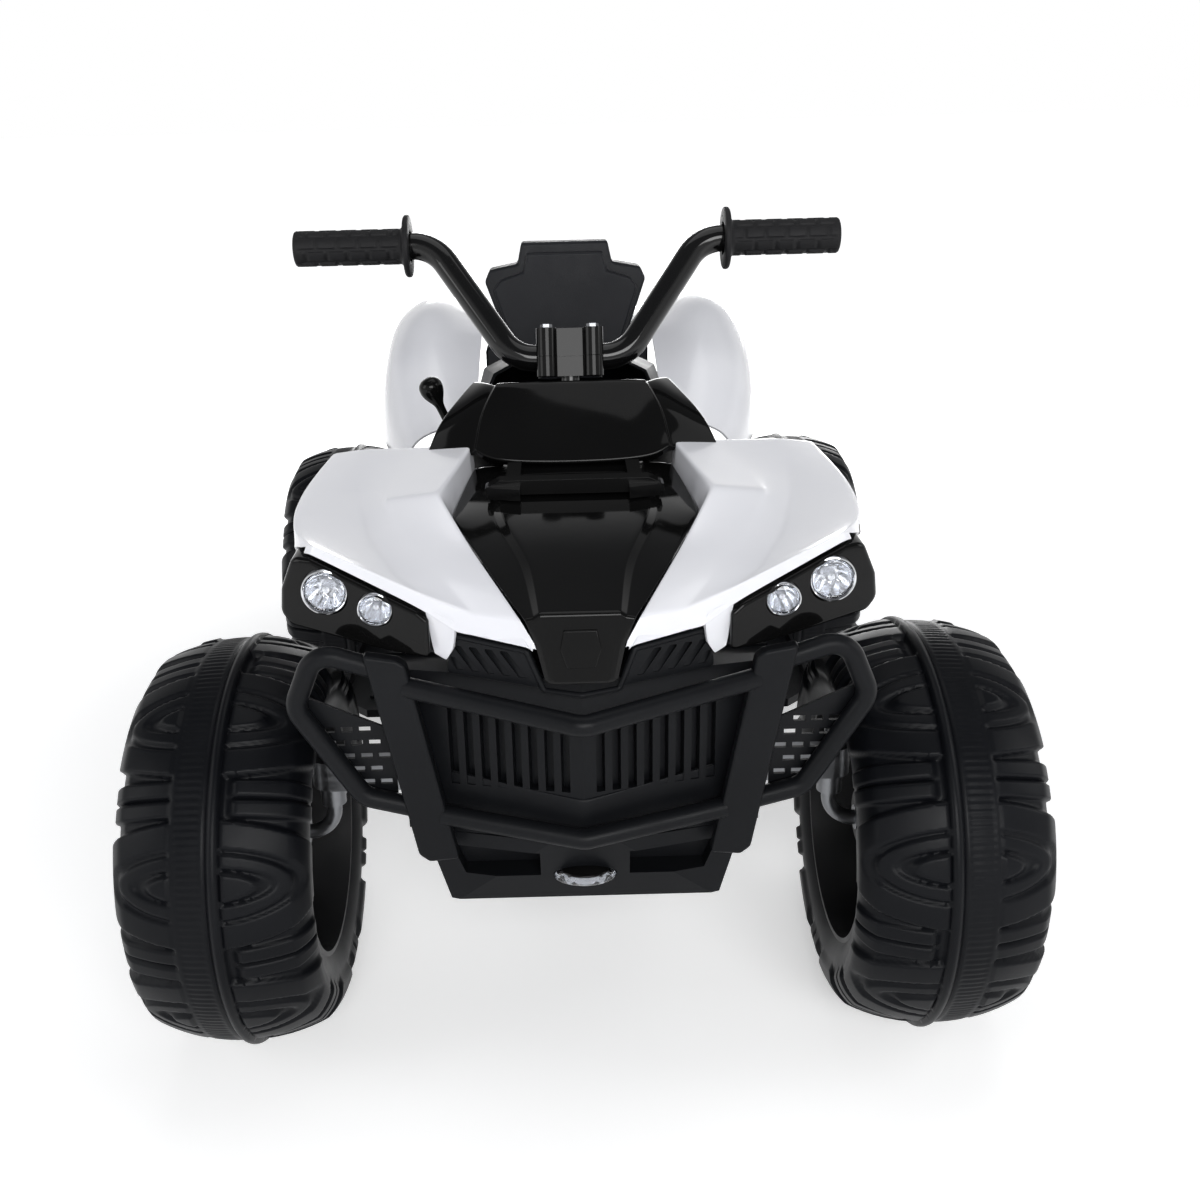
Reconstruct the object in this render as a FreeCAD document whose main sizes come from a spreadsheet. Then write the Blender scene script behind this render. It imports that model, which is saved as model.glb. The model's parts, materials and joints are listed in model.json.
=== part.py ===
import FreeCAD, Part
import math
import os
import Sketcher

# Kids quad bike. +Z up, the front of the vehicle looks along -Y, origin on the
# floor under the middle of the overall box. Left is the rider's left, +X.

Vector = FreeCAD.Vector
Placement = FreeCAD.Placement
Rotation = FreeCAD.Rotation

# Driving sizes in millimetres, angles in degrees
sizes = {
    # whole vehicle
    "overall_length": 1020,
    "front_overhang": 210,
    "wheelbase": 610,
    "track": 538,
    "panel_wall": 3,
    "fit_gap": 0.3,
    "running_gap": 0.05,
    "cut_overrun": 5,
    # wheels
    "tyre_radius": 165,
    "tyre_width": 142,
    "tyre_wall": 5,
    "tyre_shoulder_half": 58,
    "tyre_crown_drop": 13,
    "tyre_side_radius": 122,
    "lug_height": 8,
    "lug_side_height": 3,
    "lug_crown_trim": 2,
    "band_half_width": 14,
    "band_height": 4,
    "lug_arch_half": 44,
    "lug_arch_tip_half": 13,
    "lug_wedge_offset": 57,
    "lug_wedge_half": 9,
    "lug_wedge_inner": 36,
    "rim_radius": 100,
    "rim_half_width": 62,
    "rim_wall": 4,
    "rim_web_offset": 12,
    "rim_web": 9,
    "rim_window_inner": 40,
    "rim_window_outer": 84,
    "rim_window_inner_half": 9,
    "rim_window_outer_half": 30,
    "hub_radius": 22,
    "hub_inner_reach": 42,
    "hub_outer_reach": 40,
    "hub_cap_radius": 28,
    "hub_cap_height": 14,
    "hub_cap_wall": 3,
    "axle_radius": 6,
    "axle_thread_reach": 8,
    "nut_radius": 11,
    "nut_height": 6,
    # chassis
    "tub_width": 170,
    "tub_front_setback": 85,
    "tub_rear_setback": 70,
    "tub_chin_rise": 27,
    "tub_chin_run": 20,
    "tub_front_bay": 240,
    "tub_step_run": 35,
    "tub_tail_rise": 105,
    "tub_tail_run": 88,
    "tub_wall": 15,
    "tub_floor": 6,
    "deck_height": 330,
    "tower_height": 410,
    "pedestal_height": 440,
    "pedestal_setback": 96,
    "front_tower_length": 317,
    "tail_tower_length": 134,
    "tail_tower_height": 425,
    "belly_height": 150,
    "front_belly_height": 235,
    "bay_length": 370,
    "bay_axle_gap": 60,
    "socket_radius": 5.5,
    "socket_depth": 12,
    "socket_height": 262,
    "footrest_front": 85,
    "footrest_length": 210,
    "footrest_reach": 148,
    "footrest_height": 160,
    "footrest_thickness": 8,
    "footrest_corner": 26,
    "footrest_rib_height": 3,
    "footrest_rib_width": 7,
    "footrest_rib_pitch": 26,
    "footrest_lip": 12,
    # front axle and steering linkage
    "kingpin_half_track": 202,
    "kingpin_radius": 6,
    "kingpin_bend": 22,
    "kingpin_over_beam": 14,
    "collar_radius": 10,
    "stub_collar": 2.5,
    "beam_height": 25,
    "beam_half_depth": 15,
    "arm_length": 45,
    "arm_half_width": 8,
    "arm_thickness": 5,
    "tie_pin_radius": 4,
    "tie_pin_tail": 4,
    "tie_rod_height": 187,
    "tie_rod_thickness": 5,
    "tie_rod_half_width": 8,
    "tie_pin_play": 0.4,
    "crank_pin_play": 1.8,
    # steering column and handlebar, along the raked column
    "column_setback": 65,
    "column_foot_height": 212,
    "column_rake": 15,
    "column_radius": 8,
    "column_length": 305,
    "column_collar": 6,
    "crank_thickness": 5,
    "crank_half_width": 9,
    "crank_pin_length": 20,
    "bush_wall": 4,
    "bush_length": 24,
    "bush_top": 124,
    "bar_over_column": 16,
    "bar_radius": 11,
    "bar_flat_half": 46,
    "bar_grip_start": 112,
    "bar_rise": 97,
    "bar_sweep": 20,
    "bar_half_length": 228,
    "bar_bend": 34,
    "grip_radius": 15,
    "grip_length": 97,
    "grip_flange_radius": 25.5,
    "grip_flange": 5,
    "grip_end_wall": 3,
    "grip_groove": 1.5,
    "clamp_half_width": 24,
    "clamp_half_depth": 14,
    "clamp_boss_x": 19,
    "clamp_boss_radius": 8.5,
    "clamp_cap_height": 23,
    "clamp_bolt_radius": 5,
    "clamp_bolt_height": 3,
    # drive
    "gearbox_inner": 150,
    "gearbox_width": 50,
    "gearbox_radius": 46,
    "gearbox_boss_radius": 18,
    "motor_radius": 20,
    "motor_offset_y": 62,
    "motor_offset_z": 28,
    "motor_pinion_radius": 30,
    "battery_length": 151,
    "battery_width": 98,
    "battery_height": 95,
    "terminal_radius": 4,
    "terminal_height": 6,
    "control_length": 90,
    "control_width": 70,
    "control_height": 28,
    "bay_spacing": 15,
    "tail_lamp_width": 46,
    "tail_lamp_height": 22,
    "tail_lamp_depth": 8,
    # hood
    "hood_rear_setback": 85,
    "hood_length": 269,
    "hood_half_width": 90,
    "hood_top": 452,
    "hood_drop": 72,
    "post_radius": 6,
    "hood_post_x": 20,
    "hood_post_front": 100,
    "hood_post_rear": 18,
    "nose_plate_width": 26,
    "nose_plate_height": 24,
    "nose_plate_thickness": 2,
    # front fenders
    "fender_rear_setback": 87,
    "fender_length": 266,
    "fender_half_width": 203,
    "fender_top": 469,
    "fender_drop": 65,
    "fender_seam_drop": 3,
    "fender_tab_drop": 32,
    # headlights
    "pod_inner": 103,
    "pod_outer": 202,
    "pod_depth": 34,
    "pod_top_lift": 0.8,
    "pod_inner_setback": -155,
    "pod_sweep": 38,
    "pod_inner_height": 393,
    "lamp_big_radius": 16,
    "lamp_small_radius": 12,
    "lamp_big_x": 166,
    "lamp_small_x": 132,
    "lamp_big_height": 426,
    "lamp_small_height": 418,
    "lamp_depth": 14,
    "lamp_wall": 1.5,
    "lens_thickness": 3,
    # chin grille, radiator grille and skid panel
    "chin_half_width": 80,
    "chin_bottom": 372,
    "chin_height": 29,
    "chin_tip": -184,
    "chin_side": -158,
    "chin_back": -138,
    "chin_notch_half": 32,
    "chin_bar_height": 6,
    "chin_slot_width": 4.5,
    "chin_slot_pitch": 7.6,
    "chin_slot_lean": 6,
    "chin_slot_margin": 4,
    "chin_slot_wall": 6,
    "grille_half_width": 122,
    "grille_bottom": 250,
    "grille_tip": -162,
    "grille_side": -136,
    "grille_slot_bottom": 288,
    "grille_slot_height": 60,
    "grille_slot_width": 6,
    "grille_slot_pitch": 11,
    "grille_slot_depth": 8,
    "grille_slot_start": 9,
    "grille_slot_count": 8,
    "skid_half_width": 112,
    "skid_base_half": 95,
    "skid_front_top": -160,
    "skid_front_bottom": -143,
    "skid_bottom": 194,
    "skid_rear": -50,
    "skid_rear_bottom": 222,
    "skid_sweep": 24,
    "skid_pocket_half": 31,
    "skid_pocket_height": 22,
    "skid_pocket_depth": 6,
    "skid_pocket_x": 62,
    "fog_half_width": 22,
    "fog_half_height": 8,
    "fog_half_depth": 9,
    "fog_height": 217,
    # bumper
    "bumper_tube_radius": 7,
    "bumper_plane": -155,
    "hoop_plane": -150.5,
    "bumper_upper_height": 367,
    "bumper_upper_tip_height": 359,
    "bumper_lower_height": 271,
    "bumper_lower_tip_height": 260,
    "bumper_lower_tip": -174,
    "bumper_bend": 16,
    "strap_top": 386,
    "strap_bottom": 244,
    "strap_top_x": 127,
    "strap_bottom_x": 100,
    "strap_half_width": 12,
    "strap_thickness": 10,
    "hoop_top_inner": 376,
    "hoop_top_outer": 392,
    "hoop_top_x": 173,
    "hoop_outer_x": 190,
    "hoop_outer": 352,
    "hoop_low_x": 149,
    "hoop_low": 284,
    "hoop_low_inner": 272,
    "bumper_boss_radius": 7,
    "bumper_boss_height": 272,
    "bumper_boss_x": 110,
    "mesh_thickness": 2.5,
    "mesh_slot_length": 8,
    "mesh_slot_height": 4,
    "mesh_pitch_x": 12,
    "mesh_pitch_z": 10,
    # front rack, cowl, tank cover
    "rack_half_width": 66,
    "rack_front_setback": 7,
    "rack_bar_depth": 14,
    "rack_bar_height": 11,
    "rack_foot_width": 24,
    "rack_foot_depth": 24,
    "rack_foot_inset": 2,
    "rack_arm_x": 46,
    "rack_arm_width": 11,
    "rack_arm_height": 7,
    "rack_ground": 449,
    "rack_arm_reach": 52,
    "cowl_front_setback": 62,
    "cowl_length": 130,
    "cowl_half_width": 116,
    "cowl_top": 522,
    "cowl_drop": 84,
    "cowl_post_x": 40,
    "cowl_post_setback": 138,
    "cowl_hole_radius": 15,
    "tank_front_setback": 194,
    "tank_length": 128,
    "tank_half_width": 98,
    "tank_top": 512,
    "button_radius": 8,
    "button_gap": 0.4,
    "button_proud": 4,
    "button_length": 14,
    "button_spacing": 30,
    "button_setback": 232,
    # rear body and seat
    "rear_front_setback": 370,
    "rear_half_width": 211,
    "rear_top": 507,
    "rear_side_bottom": 372,
    "rear_wall": 3,
    "rear_post_x": 60,
    "rear_post_front": 30,
    "rear_post_rear": 110,
    "seat_front_gap": 2,
    "seat_half_width": 94,
    "seat_gap": 3,
    "seat_length": 278,
    "seat_height": 422,
    "seat_back_height": 572,
    "seat_back_thickness": 24,
    "seat_back_lean": 14,
    "seat_back_half": 92,
    "seat_back_widest": 530,
    "seat_back_waist_half": 71,
    "seat_back_waist": 470,
    "seat_back_step_half": 54,
    "seat_back_step": 549,
    "seat_back_crown_half": 48,
    "seat_wall": 6,
    # gear lever and pedal
    "lever_setback": 215,
    "lever_lean": 23,
    "lever_stalk_radius": 4,
    "lever_stalk": 40,
    "lever_knob_radius": 11,
    "lever_knob": 26,
    "lever_boss_radius": 9,
    "lever_boss": 10,
    "pedal_x": 158,
    "pedal_y": -30,
    "pedal_hinge_height": 179,
    "pedal_length": 52,
    "pedal_half_width": 21,
    "pedal_thickness": 6,
    "pedal_tilt": 28,
    "pedal_pin_radius": 4,
    "pedal_barrel_radius": 7,
    "pedal_ear": 6,
}

# Shares of the sizes above, chosen by hand: (across, along, down) of each panel
hood_row_shares = [
    (0.0, [(0.0, 0.0), (0.55, 0.0), (0.64, 0.07), (0.89, 0.07)]),
    (0.43, [(0.0, 0.07), (0.62, 0.07), (0.7, 0.17), (1.0, 0.14)]),
    (0.74, [(0.0, 0.22), (0.34, 0.22), (0.43, 0.31), (0.66, 0.28)]),
    (0.89, [(0.0, 0.33), (0.3, 0.33), (0.37, 0.4), (0.48, 0.39)]),
    (0.97, [(0.0, 0.385), (0.28, 0.385), (0.33, 0.42), (0.4, 0.43)]),
    (1.0, [(0.0, 1.0), (0.22, 1.0), (0.26, 0.99), (0.3, 0.94)]),
]
fender_row_shares = [
    [(0.4, 0.0, 0.05), (0.58, 0.0, 0.1), (0.81, 0.0, 0.13), (0.93, 0.0, 0.15), (0.96, 0.0, 0.95)],
    [(0.48, 0.4424, 0.14), (0.67, 0.4424, 0.2), (0.77, 0.4424, 0.28), (0.975, 0.4424, 0.16),
     (1.0, 0.4424, 0.92)],
    [(0.347, 0.67, 0.46), (0.55, 0.67, 0.37), (0.69, 0.67, 0.37), (0.945, 0.67, 0.16), (0.965, 0.67, 0.6)],
    [(0.273, 0.82, 0.57), (0.435, 0.82, 0.54), (0.585, 0.82, 0.5), (0.885, 0.755, 0.19), (0.9, 0.75, 0.3)],
    [(0.187, 0.97, 0.754), (0.325, 0.945, 0.74), (0.49, 0.9, 0.6), (0.85, 0.79, 0.2), (0.88, 0.775, 0.22)],
    [(0.148, 1.0, 0.97), (0.315, 0.967, 0.92), (0.493, 0.905, 0.74), (0.862, 0.795, 0.29),
     (0.89, 0.775, 0.29)],
]
cowl_row_shares = [
    [(0.0, 0.0, 0.8), (0.57, 0.03, 0.79), (0.68, 0.1, 0.625), (1.0, 0.11, 0.613), (1.0, 0.13, 0.65)],
    [(0.0, 0.36, 0.12), (0.45, 0.36, 0.13), (0.51, 0.38, 0.15), (0.69, 0.67, 0.2), (0.96, 0.72, 0.96)],
    [(0.0, 1.0, 0.38), (0.43, 1.0, 0.39), (0.52, 1.0, 0.42), (0.69, 1.0, 0.5), (0.9, 1.0, 1.0)],
]
tank_row_shares = [
    (0.0, [(0.0, 1.0), (0.5, 0.99), (0.68, 0.94), (0.98, 0.58), (0.84, 0.0)]),
    (0.5, [(0.0, 0.98), (0.52, 0.97), (0.8, 0.9), (1.0, 0.55), (0.84, 0.0)]),
    (1.0, [(0.0, 0.68), (0.48, 0.66), (0.66, 0.6), (0.94, 0.38), (0.84, 0.0)]),
]
rear_row_shares = [
    (0.0, 0.8, 0.3, [(1.0, 0.0), (1.0, 0.5), (0.86, 0.9), (0.7, 1.0), (0.58, 0.75), (0.3, 0.72)]),
    (0.16, 0.97, 0.66, [(1.0, 0.0), (1.0, 0.6), (0.88, 0.96), (0.66, 1.0), (0.48, 0.7), (0.25, 0.65)]),
    (0.36, 1.0, 0.95, [(1.0, 0.0), (1.0, 0.7), (0.88, 1.0), (0.66, 1.04), (0.47, 0.74), (0.25, 0.7)]),
    (0.52, 1.0, 1.0, [(1.0, 0.0), (1.0, 0.72), (0.88, 1.0), (0.66, 1.04), (0.47, 0.8), (0.25, 0.76)]),
    (0.74, 0.96, 0.95, [(1.0, 0.0), (1.0, 0.7), (0.88, 1.0), (0.66, 1.03), (0.47, 0.85), (0.25, 0.82)]),
    (0.92, 0.86, 0.76, [(1.0, 0.0), (1.0, 0.66), (0.88, 0.98), (0.66, 1.02), (0.47, 0.92), (0.25, 0.9)]),
    (1.0, 0.76, 0.46, [(1.0, 0.2), (1.0, 0.66), (0.88, 0.96), (0.66, 1.0), (0.47, 0.96), (0.25, 0.95)]),
]
lug_unit_count = 7
rim_spoke_count = 5
lever_ridge_shares = (0.9866, 0.57)
mesh_hole_rows = ((0, 2), (0, 2), (0, 3), (0, 3), (1, 3))
chin_slot_count = 5
footrest_rib_count = 7

doc = FreeCAD.newDocument("KidsQuadBike")
sheet = doc.addObject("Spreadsheet::Sheet", "Sizes")
for row, (alias, number) in enumerate(sizes.items(), start=1):
    sheet.set("A%d" % row, alias)
    sheet.set("B%d" % row, str(number))
    sheet.setAlias("B%d" % row, alias)
doc.recompute()


class SheetSizes:
    """Reads one size from the sheet by its alias."""

    def __getattr__(self, alias):
        return float(sheet.get(alias))


size = SheetSizes()
nodes = {}

# Places that several pieces share, as expressions of the sheet
front_axle = "(Sizes.front_overhang - Sizes.overall_length / 2)"
rear_axle = "(Sizes.front_overhang + Sizes.wheelbase - Sizes.overall_length / 2)"
half_track = "Sizes.track / 2"
half_tub = "Sizes.tub_width / 2"
tub_front = "(Sizes.tub_front_setback - Sizes.overall_length / 2)"
tub_rear = "(Sizes.overall_length / 2 - Sizes.tub_rear_setback)"
tub_floor_top = "(Sizes.belly_height + Sizes.tub_floor)"
bore_radius = "(Sizes.axle_radius + Sizes.running_gap)"
column_foot = "(%s + Sizes.column_setback)" % front_axle
pin_line = "(%s + Sizes.arm_length)" % front_axle
tie_rod_top = "(Sizes.tie_rod_height + Sizes.tie_rod_thickness)"
arm_bottom = "(%s + Sizes.fit_gap)" % tie_rod_top
beam_bottom = "(Sizes.front_belly_height - Sizes.beam_height)"
bay_rear = "(%s - Sizes.bay_axle_gap)" % rear_axle
bay_front = "(%s - Sizes.bay_length)" % bay_rear
seat_front = "(%s + Sizes.tank_front_setback + Sizes.tank_length + Sizes.seat_front_gap)" % front_axle
seat_back = "(%s + Sizes.seat_length)" % seat_front
bar_line = "(Sizes.column_length + Sizes.bar_over_column)"
clamp_top = "(%s + Sizes.clamp_cap_height)" % bar_line


def value(expression):
    return float(sheet.evalExpression(expression))


def from_front_axle(alias):
    return "(%s + Sizes.%s)" % (front_axle, alias)


def bind(thing, **expressions):
    for name, expression in expressions.items():
        thing.setExpression(name, expression)
    return thing


def place(thing, x="0", y="0", z="0"):
    """Ties an object's position to the sheet."""
    for axis, expression in (("x", x), ("y", y), ("z", z)):
        thing.setExpression("Placement.Base." + axis, expression)
    return thing


def turn(thing, axis, angle):
    """Turns an object about an axis, by an angle from the sheet."""
    thing.Placement = Placement(Vector(0, 0, 0), Rotation(axis, value(angle)))
    thing.setExpression("Placement.Rotation.Angle", angle)
    return thing


def keep(thing, label):
    """Makes an object one of the part's nodes."""
    thing.Label = label
    nodes[label] = thing
    return thing


def solid(label, shape):
    """A sub-part whose shape is worked out from the sheet."""
    feature = doc.addObject("Part::Feature", label)
    feature.Shape = shape
    return feature


def fused(label, *parts):
    fuse = doc.addObject("Part::MultiFuse", label)
    fuse.Shapes = list(parts)
    return fuse


def cut(label, base, *tools):
    result = doc.addObject("Part::Cut", label)
    result.Base = base
    result.Tool = tools[0] if len(tools) == 1 else fused(label + "_tools", *tools)
    return result


def mirrored(label, source):
    mirror = doc.addObject("Part::Mirroring", label)
    mirror.Source = source
    mirror.Normal = Vector(1, 0, 0)
    return mirror


def cylinder(label, radius, height, direction=Vector(0, 0, 1), x="0", y="0", z="0"):
    rod = doc.addObject("Part::Cylinder", label)
    bind(rod, Radius=radius, Height=height)
    rod.Placement = Placement(Vector(0, 0, 0), Rotation(Vector(0, 0, 1), direction))
    return place(rod, x, y, z)


def box(label, length, width, height, x="0", y="0", z="0"):
    block = doc.addObject("Part::Box", label)
    bind(block, Length=length, Width=width, Height=height)
    return place(block, x, y, z)


def hex_nut(label, radius, height, direction, x="0", y="0", z="0"):
    nut = doc.addObject("Part::Prism", label)
    nut.Polygon = 6
    bind(nut, Circumradius=radius, Height=height)
    nut.Placement = Placement(Vector(0, 0, 0), Rotation(Vector(0, 0, 1), direction))
    return place(nut, x, y, z)


def compound(label, parts):
    group = doc.addObject("Part::Compound", label)
    group.Links = parts
    return group


# Sketched bodies

def new_body(label):
    body = doc.addObject("PartDesign::Body", label)
    body.Label = label
    return body


def new_sketch(body, role, offset=None):
    sketch = body.newObject("Sketcher::SketchObject", body.Name + "_sketch")
    plane = [item for item in body.Origin.OriginFeatures if item.Role == role][0]
    sketch.AttachmentSupport = [(plane, "")]
    sketch.MapMode = "FlatFace"
    if offset:
        sketch.setExpression("AttachmentOffset.Base.z", offset)
    return sketch


def tie_point(sketch, geometry, point, place_xy):
    """Holds a point of a sketch at a place given by two expressions."""
    kinds = (("DistanceX", -2), ("DistanceY", -1))
    for (kind, axis), expression in zip(kinds, place_xy):
        number = value(expression)
        if expression == "0":
            sketch.addConstraint(Sketcher.Constraint("PointOnObject", geometry, point, axis))
            continue
        index = sketch.addConstraint(Sketcher.Constraint(kind, -1, 1, geometry, point, number))
        sketch.setExpression("Constraints[%d]" % index, expression)


def add_polygon(sketch, corners):
    points = [Vector(value(x), value(y), 0) for x, y in corners]
    first = sketch.GeometryCount
    count = len(points)
    for index in range(count):
        sketch.addGeometry(Part.LineSegment(points[index], points[(index + 1) % count]), False)
    for index in range(count):
        following = first + (index + 1) % count
        sketch.addConstraint(Sketcher.Constraint("Coincident", first + index, 2, following, 1))
    for index, corner in enumerate(corners):
        tie_point(sketch, first + index, 1, corner)


def add_circle(sketch, x, y, radius):
    centre = Vector(value(x), value(y), 0)
    index = sketch.addGeometry(Part.Circle(centre, Vector(0, 0, 1), value(radius)), False)
    tie_point(sketch, index, 3, (x, y))
    bound = sketch.addConstraint(Sketcher.Constraint("Radius", index, value(radius)))
    sketch.setExpression("Constraints[%d]" % bound, radius)


def pad(body, sketch, length, symmetric=False, backward=False):
    feature = body.newObject("PartDesign::Pad", body.Name + "_pad")
    feature.Profile = sketch
    feature.setExpression("Length", length)
    feature.SideType = "Symmetric" if symmetric else "One side"
    feature.Reversed = backward
    return feature


def pocket(body, sketch, length, symmetric=False, backward=False):
    feature = body.newObject("PartDesign::Pocket", body.Name + "_pocket")
    feature.Profile = sketch
    feature.setExpression("Length", length)
    feature.SideType = "Symmetric" if symmetric else "One side"
    feature.Reversed = backward
    return feature


def revolve(body, sketch, axis):
    feature = body.newObject("PartDesign::Revolution", body.Name + "_revolution")
    feature.Profile = sketch
    feature.ReferenceAxis = (sketch, [axis])
    feature.Angle = 360
    return feature


def repeat_along(body, feature, sketch, count, length):
    pattern = body.newObject("PartDesign::LinearPattern", body.Name + "_pattern")
    pattern.Originals = [feature]
    pattern.Direction = (sketch, ["H_Axis"])
    pattern.Occurrences = count
    pattern.setExpression("Length", length)
    body.Tip = pattern
    return pattern


def repeat_round(body, feature, sketch, count):
    pattern = body.newObject("PartDesign::PolarPattern", body.Name + "_pattern")
    pattern.Originals = [feature]
    pattern.Axis = (sketch, ["N_Axis"])
    pattern.Angle = 360
    pattern.Occurrences = count
    body.Tip = pattern
    return pattern


# Bent tubes

def bent_edges(points, bend):
    """Straight runs joined by tangent arcs of one bend radius."""
    edges = []
    start = points[0]
    for before, corner, after in zip(points, points[1:], points[2:]):
        inward = (before - corner).normalize()
        outward = (after - corner).normalize()
        half = inward.getAngle(outward) / 2
        setback = bend / math.tan(half)
        middle = corner + (inward + outward).normalize() * (bend / math.sin(half) - bend)
        entry = corner + inward * setback
        leave = corner + outward * setback
        edges.append(Part.LineSegment(start, entry).toShape())
        edges.append(Part.Arc(entry, middle, leave).toShape())
        start = leave
    edges.append(Part.LineSegment(start, points[-1]).toShape())
    return edges


def tube(label, points, radius, bend):
    """A round bar swept along a bent path; its radius is bound to the sheet."""
    path = solid(label + "_path", Part.Wire(bent_edges(points, bend)))
    ring = doc.addObject("Part::Circle", label + "_ring")
    bind(ring, Radius=radius)
    direction = points[1] - points[0]
    ring.Placement = Placement(points[0], Rotation(Vector(0, 0, 1), direction))
    sweep = doc.addObject("Part::Sweep", label)
    sweep.Sections = [ring]
    sweep.Spine = (path, ["Edge%d" % (index + 1) for index in range(len(path.Shape.Edges))])
    sweep.Solid = True
    return sweep


# Moulded panels from a grid of points

def grid_normals(rows):
    result = []
    last_row = len(rows) - 1
    last_column = len(rows[0]) - 1
    for i, line in enumerate(rows):
        normals = []
        for j in range(len(line)):
            along = rows[min(i + 1, last_row)][j] - rows[max(i - 1, 0)][j]
            across = line[min(j + 1, last_column)] - line[max(j - 1, 0)]
            normals.append(along.cross(across).normalize())
        result.append(normals)
    return result


def inner_grid(rows, wall):
    return [[point - normal * wall for point, normal in zip(line, normals)]
            for line, normals in zip(rows, grid_normals(rows))]


def triangle(a, b, c):
    return Part.Face(Part.makePolygon([a, b, c, a]))


def faceted_panel(rows, wall):
    """A shell of flat facets through a grid of outer points."""
    inner = inner_grid(rows, wall)
    faces = []
    for grid in (rows, inner):
        for upper, lower in zip(grid, grid[1:]):
            for j in range(len(upper) - 1):
                faces.append(triangle(upper[j], upper[j + 1], lower[j + 1]))
                faces.append(triangle(upper[j], lower[j + 1], lower[j]))
    left = [(line[0], deep[0]) for line, deep in zip(rows, inner)]
    right = [(line[-1], deep[-1]) for line, deep in zip(rows, inner)]
    edges = [list(zip(rows[0], inner[0])), list(zip(rows[-1], inner[-1])), left, right]
    for rim in edges:
        for (a, b), (c, d) in zip(rim, rim[1:]):
            faces.append(triangle(a, b, c))
            faces.append(triangle(b, d, c))
    shell = Part.makeShell(faces)
    shell.sewShape()
    panel = Part.makeSolid(shell)
    if panel.Volume < 0:
        panel.reverse()
    return panel.removeSplitter()


def clamped_knots(count, degree):
    spans = count - degree
    multiplicities = [degree + 1] + [1] * (spans - 1) + [degree + 1]
    return multiplicities, [index / spans for index in range(spans + 1)]


def smooth_surface(rows, degree=3):
    surface = Part.BSplineSurface()
    row_counts, row_knots = clamped_knots(len(rows), degree)
    column_counts, column_knots = clamped_knots(len(rows[0]), degree)
    surface.buildFromPolesMultsKnots(
        rows, row_counts, column_counts, row_knots, column_knots, False, False, degree, degree)
    return surface


def smooth_panel(rows, wall):
    """A shell whose skin is a smooth surface drawn over a grid of poles."""
    outer = smooth_surface(rows)
    inner = smooth_surface(inner_grid(rows, wall))
    faces = [outer.toShape(), inner.toShape()]
    for end in (0.0, 1.0):
        faces.append(Part.makeRuledSurface(outer.uIso(end).toShape(), inner.uIso(end).toShape()))
        faces.append(Part.makeRuledSurface(outer.vIso(end).toShape(), inner.vIso(end).toShape()))
    shell = Part.makeShell(faces)
    shell.sewShape()
    panel = Part.makeSolid(shell)
    if panel.Volume < 0:
        panel.reverse()
    return panel


def both_sides(half):
    """Mirrors a row of points that starts on the centre plane."""
    return [Vector(-point.x, point.y, point.z) for point in reversed(half[1:])] + half


# Wheels

def tyre_section(crown, shoulder, side_half, side_radius, bead_half, bead_radius):
    """Outer line of a tyre section, from one bead over the crown to the other."""
    shoulder_half = size.tyre_shoulder_half
    right = [(bead_half, bead_radius), (side_half, side_radius), (shoulder_half, shoulder)]
    points = [Vector(x, radius, 0) for x, radius in right]
    far = [Vector(-x, radius, 0) for x, radius in right]
    return [
        Part.Arc(points[0], points[1], points[2]),
        Part.Arc(points[2], Vector(0, crown, 0), far[2]),
        Part.Arc(far[2], far[1], far[0]),
    ]


def ring_between(outer, inner):
    """Turns the area between two section lines about the axle."""
    first = Part.LineSegment(outer[-1].EndPoint, inner[-1].EndPoint)
    last = Part.LineSegment(inner[0].StartPoint, outer[0].StartPoint)
    edges = [curve.toShape() for curve in outer + inner + [first, last]]
    wire = Part.Wire(Part.__sortEdges__(edges))
    return Part.Face(wire).revolve(Vector(0, 0, 0), Vector(1, 0, 0), 360)


def lug(outline, angle, side):
    """A prism that stands out from the axle over one lug outline."""
    base = size.rim_radius
    corners = [Vector(side * x, along, base) for x, along in outline]
    face = Part.Face(Part.makePolygon(corners + corners[:1]))
    prism = face.extrude(Vector(0, 0, size.tyre_radius))
    prism.rotate(Vector(0, 0, 0), Vector(1, 0, 0), angle)
    return prism


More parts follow.
